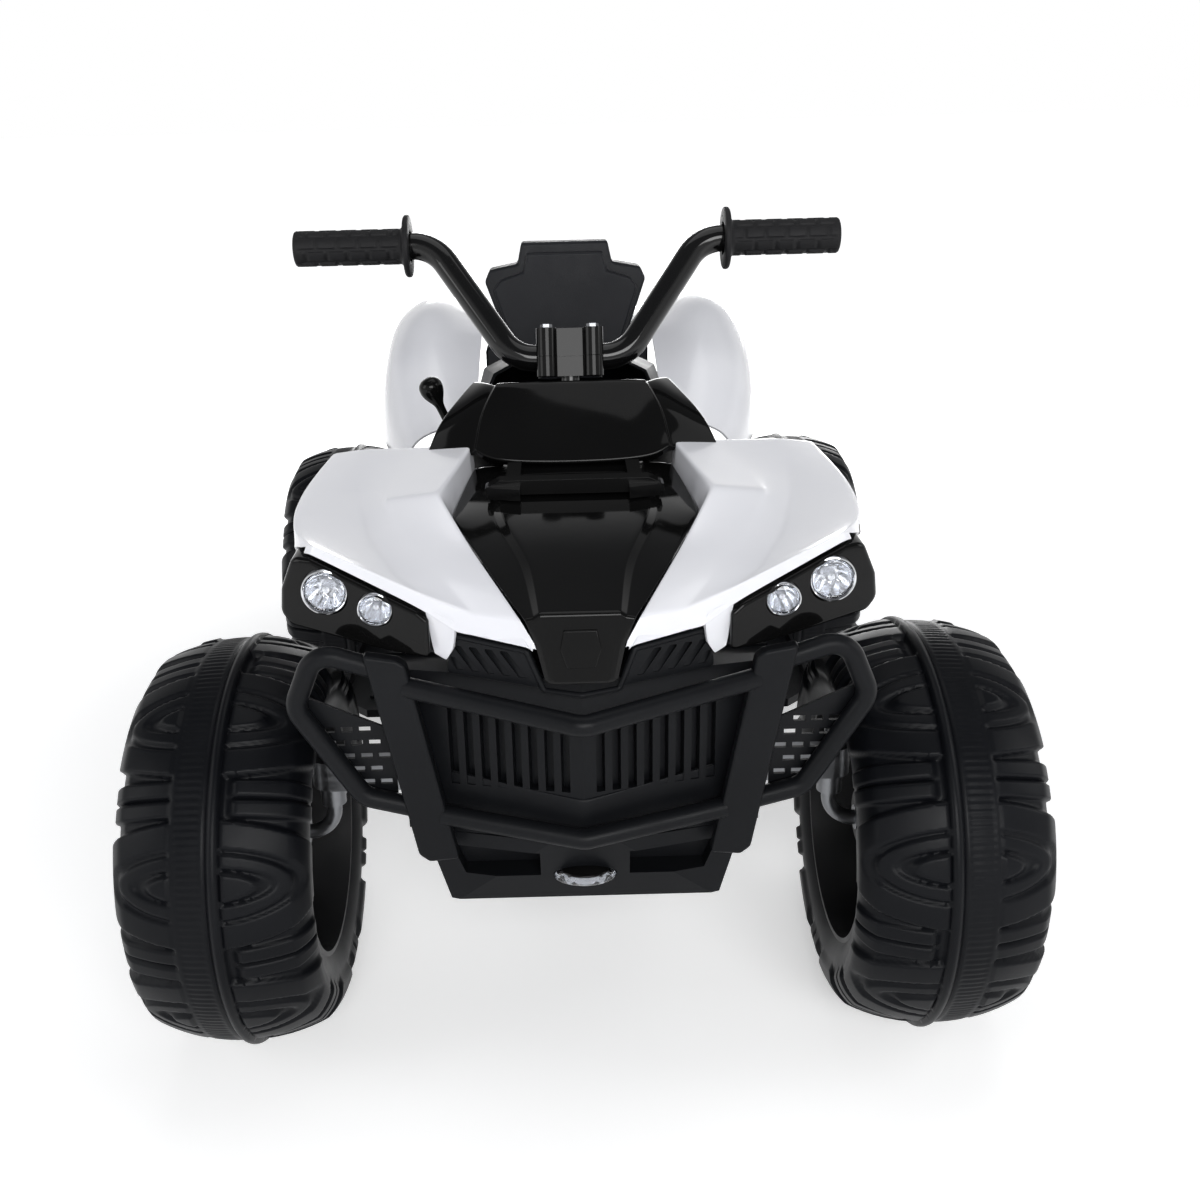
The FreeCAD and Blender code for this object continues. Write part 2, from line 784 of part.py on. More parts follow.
def tyre_shape():
    crown = size.tyre_radius - size.lug_height
    shoulder = crown - size.tyre_crown_drop
    half = size.tyre_width / 2
    side = half - size.lug_side_height
    wall = size.tyre_wall
    outer = tyre_section(crown, shoulder, side, size.tyre_side_radius, size.rim_half_width, size.rim_radius)
    inner = tyre_section(crown - wall, shoulder - wall, side - wall, size.tyre_side_radius,
                         size.rim_half_width - wall, size.rim_radius)
    middle = tyre_section(crown - wall / 2, shoulder - wall / 2, side - wall / 2,
                          size.tyre_side_radius, size.rim_half_width - wall / 2, size.rim_radius)
    top = tyre_section(size.tyre_radius + size.lug_crown_trim, shoulder + size.lug_height, half,
                       size.tyre_side_radius, size.rim_half_width, size.rim_radius)
    carcass = ring_between(outer, inner)
    trim = Part.makeCylinder(size.tyre_radius, size.tyre_width, Vector(-half, 0, 0), Vector(1, 0, 0))
    lug_ring = ring_between(top, middle).common(trim)
    band = size.band_half_width
    band_ring = Part.makeCylinder(crown + size.band_height, 2 * band, Vector(-band, 0, 0), Vector(1, 0, 0))
    band_hole = Part.makeCylinder(crown - wall / 2, 2 * band, Vector(-band, 0, 0), Vector(1, 0, 0))
    arch_half = size.lug_arch_half
    tip_half = size.lug_arch_tip_half
    reach = half + size.cut_overrun
    waist = size.tyre_shoulder_half * 0.62
    arch = [(band, -arch_half), (waist, -(arch_half + tip_half) / 2), (reach, -tip_half),
            (reach, tip_half), (waist, (arch_half + tip_half) / 2), (band, arch_half)]
    lugs = []
    pitch = 360 / lug_unit_count
    for unit in range(lug_unit_count):
        for side_sign in (1, -1):
            start = pitch * (unit + (0.5 if side_sign < 0 else 0))
            lugs.append(lug(arch, start, side_sign))
            for way in (1, -1):
                offset = way * size.lug_wedge_offset
                edge = size.lug_wedge_half
                wedge = [(size.lug_wedge_inner, offset - edge / 2), (reach, offset - edge),
                         (reach, offset + edge), (size.lug_wedge_inner, offset + edge / 2)]
                lugs.append(lug(wedge, start, side_sign))
    tread = Part.makeCompound(lugs).common(lug_ring)
    return carcass.multiFuse([band_ring.cut(band_hole)] + tread.Solids).removeSplitter()


def rim_body(label):
    body = new_body(label)
    sketch = new_sketch(body, "XY_Plane")
    inner_end = "-Sizes.hub_inner_reach"
    web_inner = "Sizes.rim_web_offset"
    web_outer = "(Sizes.rim_web_offset + Sizes.rim_web)"
    barrel = "(Sizes.rim_radius - Sizes.rim_wall)"
    seat = "(Sizes.rim_radius - Sizes.running_gap)"
    add_polygon(sketch, [
        (inner_end, bore_radius), (inner_end, "Sizes.hub_radius"), (web_inner, "Sizes.hub_radius"),
        (web_inner, barrel), ("-Sizes.rim_half_width", barrel), ("-Sizes.rim_half_width", seat),
        ("Sizes.rim_half_width", seat), ("Sizes.rim_half_width", barrel), (web_outer, barrel),
        (web_outer, "Sizes.hub_radius"), ("Sizes.hub_outer_reach", "Sizes.hub_radius"),
        ("Sizes.hub_outer_reach", bore_radius)])
    revolve(body, sketch, "H_Axis")
    window = new_sketch(body, "YZ_Plane")
    add_polygon(window, [
        ("-Sizes.rim_window_inner_half", "Sizes.rim_window_inner"),
        ("Sizes.rim_window_inner_half", "Sizes.rim_window_inner"),
        ("Sizes.rim_window_outer_half", "Sizes.rim_window_outer"),
        ("-Sizes.rim_window_outer_half", "Sizes.rim_window_outer")])
    opening = pocket(body, window, "2 * (Sizes.rim_half_width + Sizes.cut_overrun)", symmetric=True)
    repeat_round(body, opening, window, rim_spoke_count)
    return body


def hub_cap_body(label):
    body = new_body(label)
    sketch = new_sketch(body, "XY_Plane")
    foot = "Sizes.hub_outer_reach"
    crest = "(Sizes.hub_outer_reach + Sizes.hub_cap_height)"
    ceiling = "(Sizes.hub_outer_reach + Sizes.hub_cap_height - Sizes.hub_cap_wall)"
    cavity = "(Sizes.nut_radius + Sizes.hub_cap_wall)"
    add_polygon(sketch, [
        (foot, cavity), (foot, "Sizes.hub_cap_radius"),
        ("Sizes.hub_outer_reach + Sizes.hub_cap_height * 0.55", "Sizes.hub_cap_radius"),
        (crest, "Sizes.hub_cap_radius * 0.6"), (crest, "0"), (ceiling, "0"), (ceiling, cavity)])
    revolve(body, sketch, "H_Axis")
    return body


def build_wheels():
    tyre = tyre_shape()
    corners = {
        "front_left": (1, front_axle), "front_right": (-1, front_axle),
        "rear_left": (1, rear_axle), "rear_right": (-1, rear_axle),
    }
    for corner, (side, axle) in corners.items():
        pieces = (keep(solid("tyre_" + corner, tyre), "tyre_" + corner),
                  keep(rim_body("rim_" + corner), "rim_" + corner),
                  keep(hub_cap_body("hub_cap_" + corner), "hub_cap_" + corner))
        for piece in pieces:
            facing = Rotation(Vector(0, 0, 1), 0 if side > 0 else 180)
            piece.Placement = Placement(Vector(0, 0, 0), facing)
            place(piece, "%d * %s" % (side, half_track), axle, "Sizes.tyre_radius")


# Chassis

def build_tub():
    body = new_body("tub_moulding")
    sketch = new_sketch(body, "YZ_Plane")
    chin = "(Sizes.front_belly_height + Sizes.tub_chin_rise)"
    bay_end = "(%s + Sizes.tub_front_bay)" % tub_front
    tower_end = "(%s + Sizes.front_tower_length)" % tub_front
    pedestal = from_front_axle("pedestal_setback")
    tail_start = "(%s - Sizes.tail_tower_length)" % tub_rear
    add_polygon(sketch, [
        (tower_end, "Sizes.deck_height"), (tower_end, "Sizes.pedestal_height"),
        (pedestal, "Sizes.pedestal_height"), (pedestal, "Sizes.tower_height"),
        (tub_front, "Sizes.tower_height"), (tub_front, chin),
        ("%s + Sizes.tub_chin_run" % tub_front, "Sizes.front_belly_height"),
        (bay_end, "Sizes.front_belly_height"),
        ("%s + Sizes.tub_step_run" % bay_end, "Sizes.belly_height"),
        ("%s - Sizes.tub_tail_run" % tub_rear, "Sizes.belly_height"),
        (tub_rear, "Sizes.belly_height + Sizes.tub_tail_rise"), (tub_rear, "Sizes.tail_tower_height"),
        (tail_start, "Sizes.tail_tower_height"), (tail_start, "Sizes.deck_height")])
    pad(body, sketch, "Sizes.tub_width", symmetric=True)
    bay = new_sketch(body, "XY_Plane", "Sizes.deck_height")
    inside = "(%s - Sizes.tub_wall)" % half_tub
    add_polygon(bay, [
        ("-" + inside, bay_front), (inside, bay_front), (inside, bay_rear), ("-" + inside, bay_rear)])
    pocket(body, bay, "Sizes.deck_height - " + tub_floor_top)
    through = "Sizes.tub_width + 2 * Sizes.cut_overrun"
    axle_hole = cylinder("tub_axle_hole", bore_radius, through, Vector(1, 0, 0),
                         "-%s - Sizes.cut_overrun" % half_tub, rear_axle, "Sizes.tyre_radius")
    socket = cylinder("tub_socket", "Sizes.socket_radius", "Sizes.socket_depth + Sizes.cut_overrun",
                      Vector(1, 0, 0), half_tub + " - Sizes.socket_depth", "0", "Sizes.socket_height")
    column_hole = cylinder("tub_column_hole",
                           "Sizes.column_radius + Sizes.bush_wall + 2 * Sizes.running_gap",
                           "Sizes.column_length")
    on_column(column_hole)
    keep(cut("chassis_tub", body, axle_hole, socket, column_hole), "chassis_tub")


def build_footrests():
    body = new_body("footrest_plate")
    front = "-Sizes.footrest_front"
    back = "(Sizes.footrest_length - Sizes.footrest_front)"
    outer = "(%s + Sizes.footrest_reach)" % half_tub
    corner = "Sizes.footrest_corner"
    sketch = new_sketch(body, "XY_Plane", "Sizes.footrest_height")
    add_polygon(sketch, [
        (half_tub, front), ("%s - %s" % (outer, corner), front), (outer, "%s + %s" % (front, corner)),
        (outer, "%s - %s" % (back, corner)), ("%s - %s" % (outer, corner), back), (half_tub, back)])
    pad(body, sketch, "Sizes.footrest_thickness")
    top = "Sizes.footrest_height + Sizes.footrest_thickness"
    lip = new_sketch(body, "XY_Plane", top)
    thin = "Sizes.panel_wall"
    add_polygon(lip, [
        (outer, "%s + %s" % (front, corner)), (outer, "%s - %s" % (back, corner)),
        ("%s - %s" % (outer, thin), "%s - %s" % (back, corner)),
        ("%s - %s" % (outer, thin), "%s + %s" % (front, corner))])
    pad(body, lip, "Sizes.footrest_lip")
    rib = new_sketch(body, "XY_Plane", top)
    rib.AttachmentOffset = Placement(Vector(0, 0, 0), Rotation(Vector(0, 0, 1), 90))
    rib.setExpression("AttachmentOffset.Base.z", top)
    start = "(%s + %s)" % (front, corner)
    rib_inner = "-(%s + Sizes.panel_wall * 3)" % half_tub
    rib_outer = "-(%s - %s)" % (outer, corner)
    add_polygon(rib, [
        (start, rib_inner), (start, rib_outer),
        (start + " + Sizes.footrest_rib_width", rib_outer),
        (start + " + Sizes.footrest_rib_width", rib_inner)])
    ridge = pad(body, rib, "Sizes.footrest_rib_height")
    repeat_along(body, ridge, rib, footrest_rib_count,
                 "Sizes.footrest_rib_pitch * %d" % (footrest_rib_count - 1))
    keep(body, "footrest_left")
    other = mirrored("footrest_mirror", body)
    ear_front = "Sizes.pedal_y - Sizes.pedal_barrel_radius"
    ears = []
    for way in (1, -1):
        inner_face = "Sizes.pedal_half_width + Sizes.fit_gap"
        left_edge = inner_face if way > 0 else "-(%s) - Sizes.pedal_ear" % inner_face
        ears.append(box("pedal_ear", "Sizes.pedal_ear", "2 * Sizes.pedal_barrel_radius",
                        "Sizes.pedal_hinge_height + Sizes.pedal_barrel_radius - (%s)" % top,
                        "-Sizes.pedal_x + " + left_edge, ear_front, top))
    pin_hole = cylinder("pedal_pin_hole", "Sizes.pedal_pin_radius + Sizes.running_gap",
                        "2 * (Sizes.pedal_half_width + Sizes.pedal_ear + Sizes.cut_overrun)",
                        Vector(1, 0, 0),
                        "-Sizes.pedal_x - Sizes.pedal_half_width - Sizes.pedal_ear - Sizes.cut_overrun",
                        "Sizes.pedal_y", "Sizes.pedal_hinge_height")
    keep(cut("footrest_right", fused("footrest_with_ears", other, *ears), pin_hole), "footrest_right")


def build_front_axle():
    depth = "2 * Sizes.beam_half_depth"
    bar = box("beam_bar", "2 * Sizes.kingpin_half_track", depth, "Sizes.beam_height",
              "-Sizes.kingpin_half_track", front_axle + " - Sizes.beam_half_depth", beam_bottom)
    ends = []
    holes = []
    for side in (1, -1):
        x = "%d * Sizes.kingpin_half_track" % side
        ends.append(cylinder("beam_end", "Sizes.beam_half_depth", "Sizes.beam_height",
                             x=x, y=front_axle, z=beam_bottom))
        holes.append(cylinder("beam_hole", "Sizes.kingpin_radius + Sizes.running_gap",
                              "Sizes.beam_height + 2 * Sizes.cut_overrun", x=x, y=front_axle,
                              z=beam_bottom + " - Sizes.cut_overrun"))
    keep(cut("front_axle_beam", fused("beam_solid", bar, *ends), *holes), "front_axle_beam")


def build_knuckles():
    top = value("Sizes.front_belly_height + Sizes.kingpin_over_beam")
    x = size.kingpin_half_track
    y = value(front_axle)
    end = value(half_track + " + Sizes.hub_outer_reach + Sizes.nut_height + Sizes.axle_thread_reach / 2")
    path = [Vector(x, y, top), Vector(x, y, size.tyre_radius), Vector(end, y, size.tyre_radius)]
    rod = tube("knuckle_rod", path, "Sizes.kingpin_radius", size.kingpin_bend)
    pin_x = "Sizes.kingpin_half_track"
    arm_top = "(%s + Sizes.arm_thickness)" % arm_bottom
    collar = cylinder("knuckle_collar", "Sizes.collar_radius",
                      "%s - Sizes.fit_gap - %s" % (beam_bottom, arm_bottom), x=pin_x, y=front_axle,
                      z=arm_bottom)
    arm = box("knuckle_arm", "2 * Sizes.arm_half_width", "Sizes.arm_length", "Sizes.arm_thickness",
              pin_x + " - Sizes.arm_half_width", front_axle, arm_bottom)
    arm_end = cylinder("knuckle_arm_end", "Sizes.arm_half_width", "Sizes.arm_thickness",
                       x=pin_x, y=pin_line, z=arm_bottom)
    pin = cylinder("knuckle_pin", "Sizes.tie_pin_radius",
                   "%s - Sizes.tie_rod_height + Sizes.tie_pin_tail" % arm_top,
                   x=pin_x, y=pin_line, z="Sizes.tie_rod_height - Sizes.tie_pin_tail")
    hub_face = "(%s - Sizes.hub_inner_reach)" % half_track
    stub = cylinder("knuckle_stub_collar", "Sizes.collar_radius", "Sizes.stub_collar", Vector(1, 0, 0),
                    "%s - Sizes.fit_gap - Sizes.stub_collar" % hub_face, front_axle, "Sizes.tyre_radius")
    left = keep(fused("knuckle_left", rod, collar, arm, arm_end, pin, stub), "knuckle_left")
    keep(mirrored("knuckle_right", left), "knuckle_right")
    nut = hex_nut("axle_nut", "Sizes.nut_radius", "Sizes.nut_height", Vector(1, 0, 0),
                  half_track + " + Sizes.hub_outer_reach + Sizes.fit_gap", front_axle, "Sizes.tyre_radius")
    nut_hole = cylinder("axle_nut_hole", bore_radius, "Sizes.nut_height + 2 * Sizes.cut_overrun",
                        Vector(1, 0, 0), half_track + " + Sizes.hub_outer_reach - Sizes.cut_overrun",
                        front_axle, "Sizes.tyre_radius")
    left_nut = keep(cut("axle_nut_left", nut, nut_hole), "axle_nut_left")
    keep(mirrored("axle_nut_right", left_nut), "axle_nut_right")


def build_tie_rod():
    body = new_body("tie_rod")
    sketch = new_sketch(body, "XY_Plane", "Sizes.tie_rod_height")
    wide = "Sizes.tie_rod_half_width"
    end = "(Sizes.kingpin_half_track + %s)" % wide
    crank_y = "(%s + Sizes.arm_length)" % column_foot
    add_polygon(sketch, [
        ("-" + end, "%s - %s" % (pin_line, wide)), (end, "%s - %s" % (pin_line, wide)),
        (end, "%s + %s" % (pin_line, wide)), ("1.5 * " + wide, "%s + %s" % (pin_line, wide)),
        ("1.5 * " + wide, "%s + 1.2 * %s" % (crank_y, wide)),
        ("-1.5 * " + wide, "%s + 1.2 * %s" % (crank_y, wide)),
        ("-1.5 * " + wide, "%s + %s" % (pin_line, wide)), ("-" + end, "%s + %s" % (pin_line, wide))])
    pad(body, sketch, "Sizes.tie_rod_thickness")
    holes = new_sketch(body, "XY_Plane", "Sizes.tie_rod_height")
    add_circle(holes, "Sizes.kingpin_half_track", pin_line, "Sizes.tie_pin_radius + Sizes.running_gap")
    add_circle(holes, "-Sizes.kingpin_half_track", pin_line, "Sizes.tie_pin_radius + Sizes.tie_pin_play")
    crank_drop = "(Sizes.column_foot_height - Sizes.tie_rod_height - Sizes.tie_rod_thickness / 2)"
    # where the raked crank pin crosses the tie rod
    pin_y = ("(%s + Sizes.arm_length * cos(Sizes.column_rake * 1 deg) - tan(Sizes.column_rake * 1 deg)"
             " * (%s - Sizes.arm_length * sin(Sizes.column_rake * 1 deg)))" % (column_foot, crank_drop))
    add_circle(holes, "0", pin_y, "Sizes.tie_pin_radius + Sizes.crank_pin_play")
    pocket(body, holes, "2 * (Sizes.tie_rod_thickness + Sizes.cut_overrun)", symmetric=True)
    keep(body, "tie_rod")


# Steering column and handlebar, made upright and then raked about the column's foot

def on_column(thing):
    turn(thing, Vector(-1, 0, 0), "Sizes.column_rake")
    return place(thing, "0", column_foot, "Sizes.column_foot_height")


def build_column():
    shaft = cylinder("column_shaft", "Sizes.column_radius", "Sizes.column_length")
    collar = cylinder("column_collar", "Sizes.column_radius + Sizes.bush_wall / 2", "Sizes.column_collar",
                      z="Sizes.bush_top + Sizes.fit_gap")
    crank = box("column_crank", "2 * Sizes.crank_half_width", "Sizes.arm_length", "Sizes.crank_thickness",
                "-Sizes.crank_half_width", "0", "0")
    crank_root = cylinder("column_crank_root", "Sizes.crank_half_width", "Sizes.crank_thickness")
    crank_end = cylinder("column_crank_end", "Sizes.crank_half_width", "Sizes.crank_thickness",
                         y="Sizes.arm_length")
    pin = cylinder("column_crank_pin", "Sizes.tie_pin_radius",
                   "Sizes.crank_pin_length + Sizes.crank_thickness",
                   y="Sizes.arm_length", z="-Sizes.crank_pin_length")
    on_column(keep(fused("steering_column", shaft, collar, crank, crank_root, crank_end, pin),
                   "steering_column"))
    outer = cylinder("bush_outer", "Sizes.column_radius + Sizes.bush_wall + Sizes.running_gap",
                     "Sizes.bush_length", z="Sizes.bush_top - Sizes.bush_length")
    inner = cylinder("bush_inner", "Sizes.column_radius + Sizes.running_gap",
                     "Sizes.bush_length + 2 * Sizes.cut_overrun",
                     z="Sizes.bush_top - Sizes.bush_length - Sizes.cut_overrun")
    on_column(keep(cut("column_bush", outer, inner), "column_bush"))


def clamp_block(label, bottom, height):
    """Block with four round bosses that grips the handlebar."""
    body = box(label + "_block", "2 * Sizes.clamp_half_width", "2 * Sizes.clamp_half_depth", height,
               "-Sizes.clamp_half_width", "-Sizes.clamp_half_depth", bottom)
    bosses = []
    for x in (1, -1):
        for y in (1, -1):
            bosses.append(cylinder(label + "_boss", "Sizes.clamp_boss_radius", height,
                                   x="%d * Sizes.clamp_boss_x" % x, y="%d * Sizes.clamp_half_depth" % y,
                                   z=bottom))
    bore = cylinder(label + "_bore", "Sizes.bar_radius + Sizes.running_gap",
                    "2 * (Sizes.clamp_boss_x + Sizes.clamp_boss_radius + Sizes.cut_overrun)",
                    Vector(1, 0, 0),
                    "-Sizes.clamp_boss_x - Sizes.clamp_boss_radius - Sizes.cut_overrun",
                    "0", bar_line)
    return on_column(keep(cut(label, fused(label + "_solid", body, *bosses), bore), label))


def build_handlebar():
    low = value(bar_line)
    top = low + size.bar_rise
    half = [Vector(size.bar_flat_half, 0, low),
            Vector(size.bar_grip_start, size.bar_sweep, top),
            Vector(size.bar_half_length - size.grip_end_wall - size.fit_gap, size.bar_sweep, top)]
    path = [Vector(-point.x, point.y, point.z) for point in reversed(half)] + half
    bar = keep(tube("handlebar", path, "Sizes.bar_radius", size.bar_bend), "handlebar")
    on_column(bar)
    clamp_block("clamp_base", "Sizes.column_length", "Sizes.bar_over_column")
    split = "(%s + Sizes.fit_gap)" % bar_line
    clamp_block("clamp_cap", split, "Sizes.clamp_cap_height - Sizes.fit_gap")
    bolts = []
    for x in (1, -1):
        for y in (1, -1):
            bolts.append(hex_nut("clamp_bolt", "Sizes.clamp_bolt_radius", "Sizes.clamp_bolt_height",
                                 Vector(0, 0, 1), "%d * Sizes.clamp_boss_x" % x,
                                 "%d * Sizes.clamp_half_depth" % y, clamp_top))
    on_column(keep(compound("clamp_bolts", bolts), "clamp_bolts"))
    for name, side in (("grip_left", 1), ("grip_right", -1)):
        grip = new_body(name)
        sketch = new_sketch(grip, "XY_Plane")
        end = "Sizes.bar_half_length"
        start = "(Sizes.bar_half_length - Sizes.grip_length)"
        collar = "(%s + Sizes.grip_flange)" % start
        bore = "(Sizes.bar_radius + Sizes.running_gap)"
        waist = "(Sizes.grip_radius - Sizes.grip_groove)"
        cap = "(%s - Sizes.grip_end_wall)" % end
        outline = [(start, bore), (start, "Sizes.grip_flange_radius"), (collar, "Sizes.grip_flange_radius"),
                   (collar, "Sizes.grip_radius")]
        for share in (0.12, 0.34, 0.56, 0.78):
            groove = "(%s + %s * (%s - %s))" % (collar, share, cap, collar)
            outline += [(groove, "Sizes.grip_radius"), ("%s + 0.4 * Sizes.grip_flange" % groove, waist),
                        ("%s + 0.8 * Sizes.grip_flange" % groove, "Sizes.grip_radius")]
        outline += [(end, "Sizes.grip_radius"), (end, "0"), (cap, "0"), (cap, bore)]
        add_polygon(sketch, outline)
        revolve(grip, sketch, "H_Axis")
        facing = Rotation(Vector(0, 0, 1), 0 if side > 0 else 180)
        rake = Rotation(Vector(-1, 0, 0), size.column_rake)
        seat = Vector(0, size.bar_sweep, top)
        foot = Vector(0, value(column_foot), size.column_foot_height)
        keep(grip, name).Placement = Placement(foot + rake.multVec(seat), rake.multiply(facing))


# Drive and battery

def build_drive():
    half_axle = half_track + " + Sizes.hub_outer_reach + Sizes.nut_height + Sizes.axle_thread_reach / 2"
    keep(cylinder("rear_axle", "Sizes.axle_radius", "2 * (%s)" % half_axle, Vector(1, 0, 0),
                  "-(%s)" % half_axle, rear_axle, "Sizes.tyre_radius"), "rear_axle")
    nuts = []
    for side in (1, -1):
        face = "%d * (%s + Sizes.hub_outer_reach + Sizes.fit_gap)" % (side, half_track)
        nut = hex_nut("rear_nut_blank", "Sizes.nut_radius", "Sizes.nut_height", Vector(side, 0, 0),
                      face, rear_axle, "Sizes.tyre_radius")
        hole = cylinder("rear_nut_hole", bore_radius, "Sizes.nut_height", Vector(side, 0, 0),
                        face, rear_axle, "Sizes.tyre_radius")
        nuts.append(cut("rear_nut", nut, hole))
    keep(compound("rear_axle_nuts", nuts), "rear_axle_nuts")

    case = new_body("gearbox_case")
    drum = new_sketch(case, "YZ_Plane", "Sizes.gearbox_inner")
    add_circle(drum, rear_axle, "Sizes.tyre_radius", "Sizes.gearbox_radius")
    pad(case, drum, "Sizes.gearbox_width")
    motor_y = "(%s - Sizes.motor_offset_y)" % rear_axle
    motor_z = "(Sizes.tyre_radius + Sizes.motor_offset_z)"
    snout = new_sketch(case, "YZ_Plane", "Sizes.gearbox_inner")
    add_circle(snout, motor_y, motor_z, "Sizes.motor_pinion_radius")
    pad(case, snout, "Sizes.gearbox_width * 0.8")
    bridge = new_sketch(case, "YZ_Plane", "Sizes.gearbox_inner")
    add_polygon(bridge, [
        (motor_y, motor_z + " - Sizes.motor_pinion_radius"),
        (rear_axle, "Sizes.tyre_radius - Sizes.gearbox_radius * 0.9"),
        (rear_axle, "Sizes.tyre_radius + Sizes.gearbox_radius * 0.98"),
        (motor_y, motor_z + " + Sizes.motor_pinion_radius")])
    pad(case, bridge, "Sizes.gearbox_width * 0.8")
    boss_end = "(%s - Sizes.hub_inner_reach - Sizes.fit_gap)" % half_track
    boss = new_sketch(case, "YZ_Plane", "Sizes.gearbox_inner")
    add_circle(boss, rear_axle, "Sizes.tyre_radius", "Sizes.gearbox_boss_radius")
    pad(case, boss, boss_end + " - Sizes.gearbox_inner")
    bore = new_sketch(case, "YZ_Plane", "Sizes.gearbox_inner")
    add_circle(bore, rear_axle, "Sizes.tyre_radius", bore_radius)
    pocket(case, bore, "2 * %s" % half_track, symmetric=True)

    motor = new_body("motor_can")
    sketch = new_sketch(motor, "XY_Plane")
    shoulder = "(%s + Sizes.terminal_height)" % half_tub
    add_polygon(sketch, [
        (half_tub, "0"), (half_tub, "Sizes.motor_radius * 0.5"), (shoulder, "Sizes.motor_radius * 0.5"),
        (shoulder, "Sizes.motor_radius"), ("Sizes.gearbox_inner", "Sizes.motor_radius"),
        ("Sizes.gearbox_inner", "0")])
    revolve(motor, sketch, "H_Axis")
    place(motor, "0", motor_y, motor_z)
    left = keep(fused("gear_motor_left", case, motor), "gear_motor_left")
    keep(mirrored("gear_motor_right", left), "gear_motor_right")

    lamps = []
    for side in (1, -1):
        middle = "%d * (%s - Sizes.tail_lamp_width / 2 - Sizes.tub_wall)" % (side, half_tub)
        lamps.append(box("tail_lamp", "Sizes.tail_lamp_width", "Sizes.tail_lamp_depth",
                         "Sizes.tail_lamp_height", middle + " - Sizes.tail_lamp_width / 2", tub_rear,
                         "Sizes.tail_tower_height - Sizes.tub_wall - Sizes.tail_lamp_height"))
    keep(compound("tail_lamps", lamps), "tail_lamps")

    battery = new_body("battery")
    sketch = new_sketch(battery, "XY_Plane", tub_floor_top)
    rear_face = "(%s - Sizes.bay_spacing)" % bay_rear
    front_face = "(%s - Sizes.battery_length)" % rear_face
    half_width = "Sizes.battery_width / 2"
    add_polygon(sketch, [("-" + half_width, front_face), (half_width, front_face),
                         (half_width, rear_face), ("-" + half_width, rear_face)])
    pad(battery, sketch, "Sizes.battery_height")
    posts = new_sketch(battery, "XY_Plane", tub_floor_top + " + Sizes.battery_height")
    for side in (1, -1):
        add_circle(posts, "%d * Sizes.battery_width / 4" % side,
                   front_face + " + 4 * Sizes.terminal_radius", "Sizes.terminal_radius")
    pad(battery, posts, "Sizes.terminal_height")
    keep(battery, "battery")

    control = new_body("control_box")
    sketch = new_sketch(control, "XY_Plane", tub_floor_top)
    start = "(%s + Sizes.bay_spacing)" % bay_front
    half_width = "Sizes.control_width / 2"
    add_polygon(sketch, [("-" + half_width, start), (half_width, start),
                         (half_width, start + " + Sizes.control_length"),
                         ("-" + half_width, start + " + Sizes.control_length")])
    pad(control, sketch, "Sizes.control_height")
    lid = new_sketch(control, "XY_Plane", tub_floor_top + " + Sizes.control_height")
    inset = "(%s - Sizes.panel_wall)" % half_width
    add_polygon(lid, [("-" + inset, start + " + Sizes.panel_wall"), (inset, start + " + Sizes.panel_wall"),
                      (inset, start + " + Sizes.control_length - Sizes.panel_wall"),
                      ("-" + inset, start + " + Sizes.control_length - Sizes.panel_wall")])
    pad(control, lid, "Sizes.panel_wall")
    keep(control, "control_box")


# Hood and front fenders

def hood_rows():
    rear = value(from_front_axle("hood_rear_setback"))
    rows = []
    for along, half in hood_row_shares:
        y = rear - along * size.hood_length
        rows.append([Vector(across * size.hood_half_width, y, size.hood_top - down * size.hood_drop)
                     for across, down in half])
    return rows


def between(rows, y, column):
    """A point on one column of a panel's rows, at a given place along the vehicle."""
    for first, second in zip(rows, rows[1:]):
        a = first[column]
        b = second[column]
        if a.y >= y >= b.y:
            return a + (b - a) * ((a.y - y) / (a.y - b.y))
    return rows[-1][column] if y < rows[-1][column].y else rows[0][column]


def post_under(rows, x, y, ground):
    """A round post from the chassis top into the underside of a panel."""
    top = between(rows, y, 0).z - size.panel_wall / 2
    return Part.makeCylinder(size.post_radius, top - ground, Vector(x, y, ground))


def build_hood():
    rows = hood_rows()
    posts = []
    for setback in (-size.hood_post_front, size.hood_post_rear):
        y = value(front_axle) + setback
        for side in (1, -1):
            posts.append(post_under(rows, side * size.hood_post_x, y, size.tower_height))
    panel = faceted_panel([both_sides(row) for row in rows], size.panel_wall)
    keep(solid("hood", panel.multiFuse(posts)), "hood")
    upper = rows[-2][0]
    lower = rows[-1][0]
    slope = (lower - upper).normalize()
    outward = Vector(0, slope.z, -slope.y)
    middle = (upper + lower) * 0.5 + outward * size.fit_gap
    across = Vector(size.nose_plate_width / 2, 0, 0)
    along = slope * (size.nose_plate_height / 2)
    corners = [middle - across * 0.8 - along * 1.0, middle + across * 0.8 - along, middle + across,
               middle + across * 0.7 + along, middle - across * 0.7 + along, middle - across]
    face = Part.Face(Part.makePolygon(corners + corners[:1]))
    keep(solid("nose_plate", face.extrude(outward * size.nose_plate_thickness)), "nose_plate")


def fender_rows():
    rear = value(from_front_axle("fender_rear_setback"))
    hood = hood_rows()
    rows = []
    for line in fender_row_shares:
        points = [Vector(across * size.fender_half_width, rear - along * size.fender_length,
                         size.fender_top - down * size.fender_drop) for across, along, down in line]
        seam = between(hood, points[0].y, -1)
        height = max(seam.z, points[0].z) - size.fender_seam_drop
        inner = Vector(seam.x + 2 * size.fit_gap, points[0].y, height)
        points[0].x = max(points[0].x, inner.x + size.fit_gap)
        rows.append([inner] + points)
    return rows


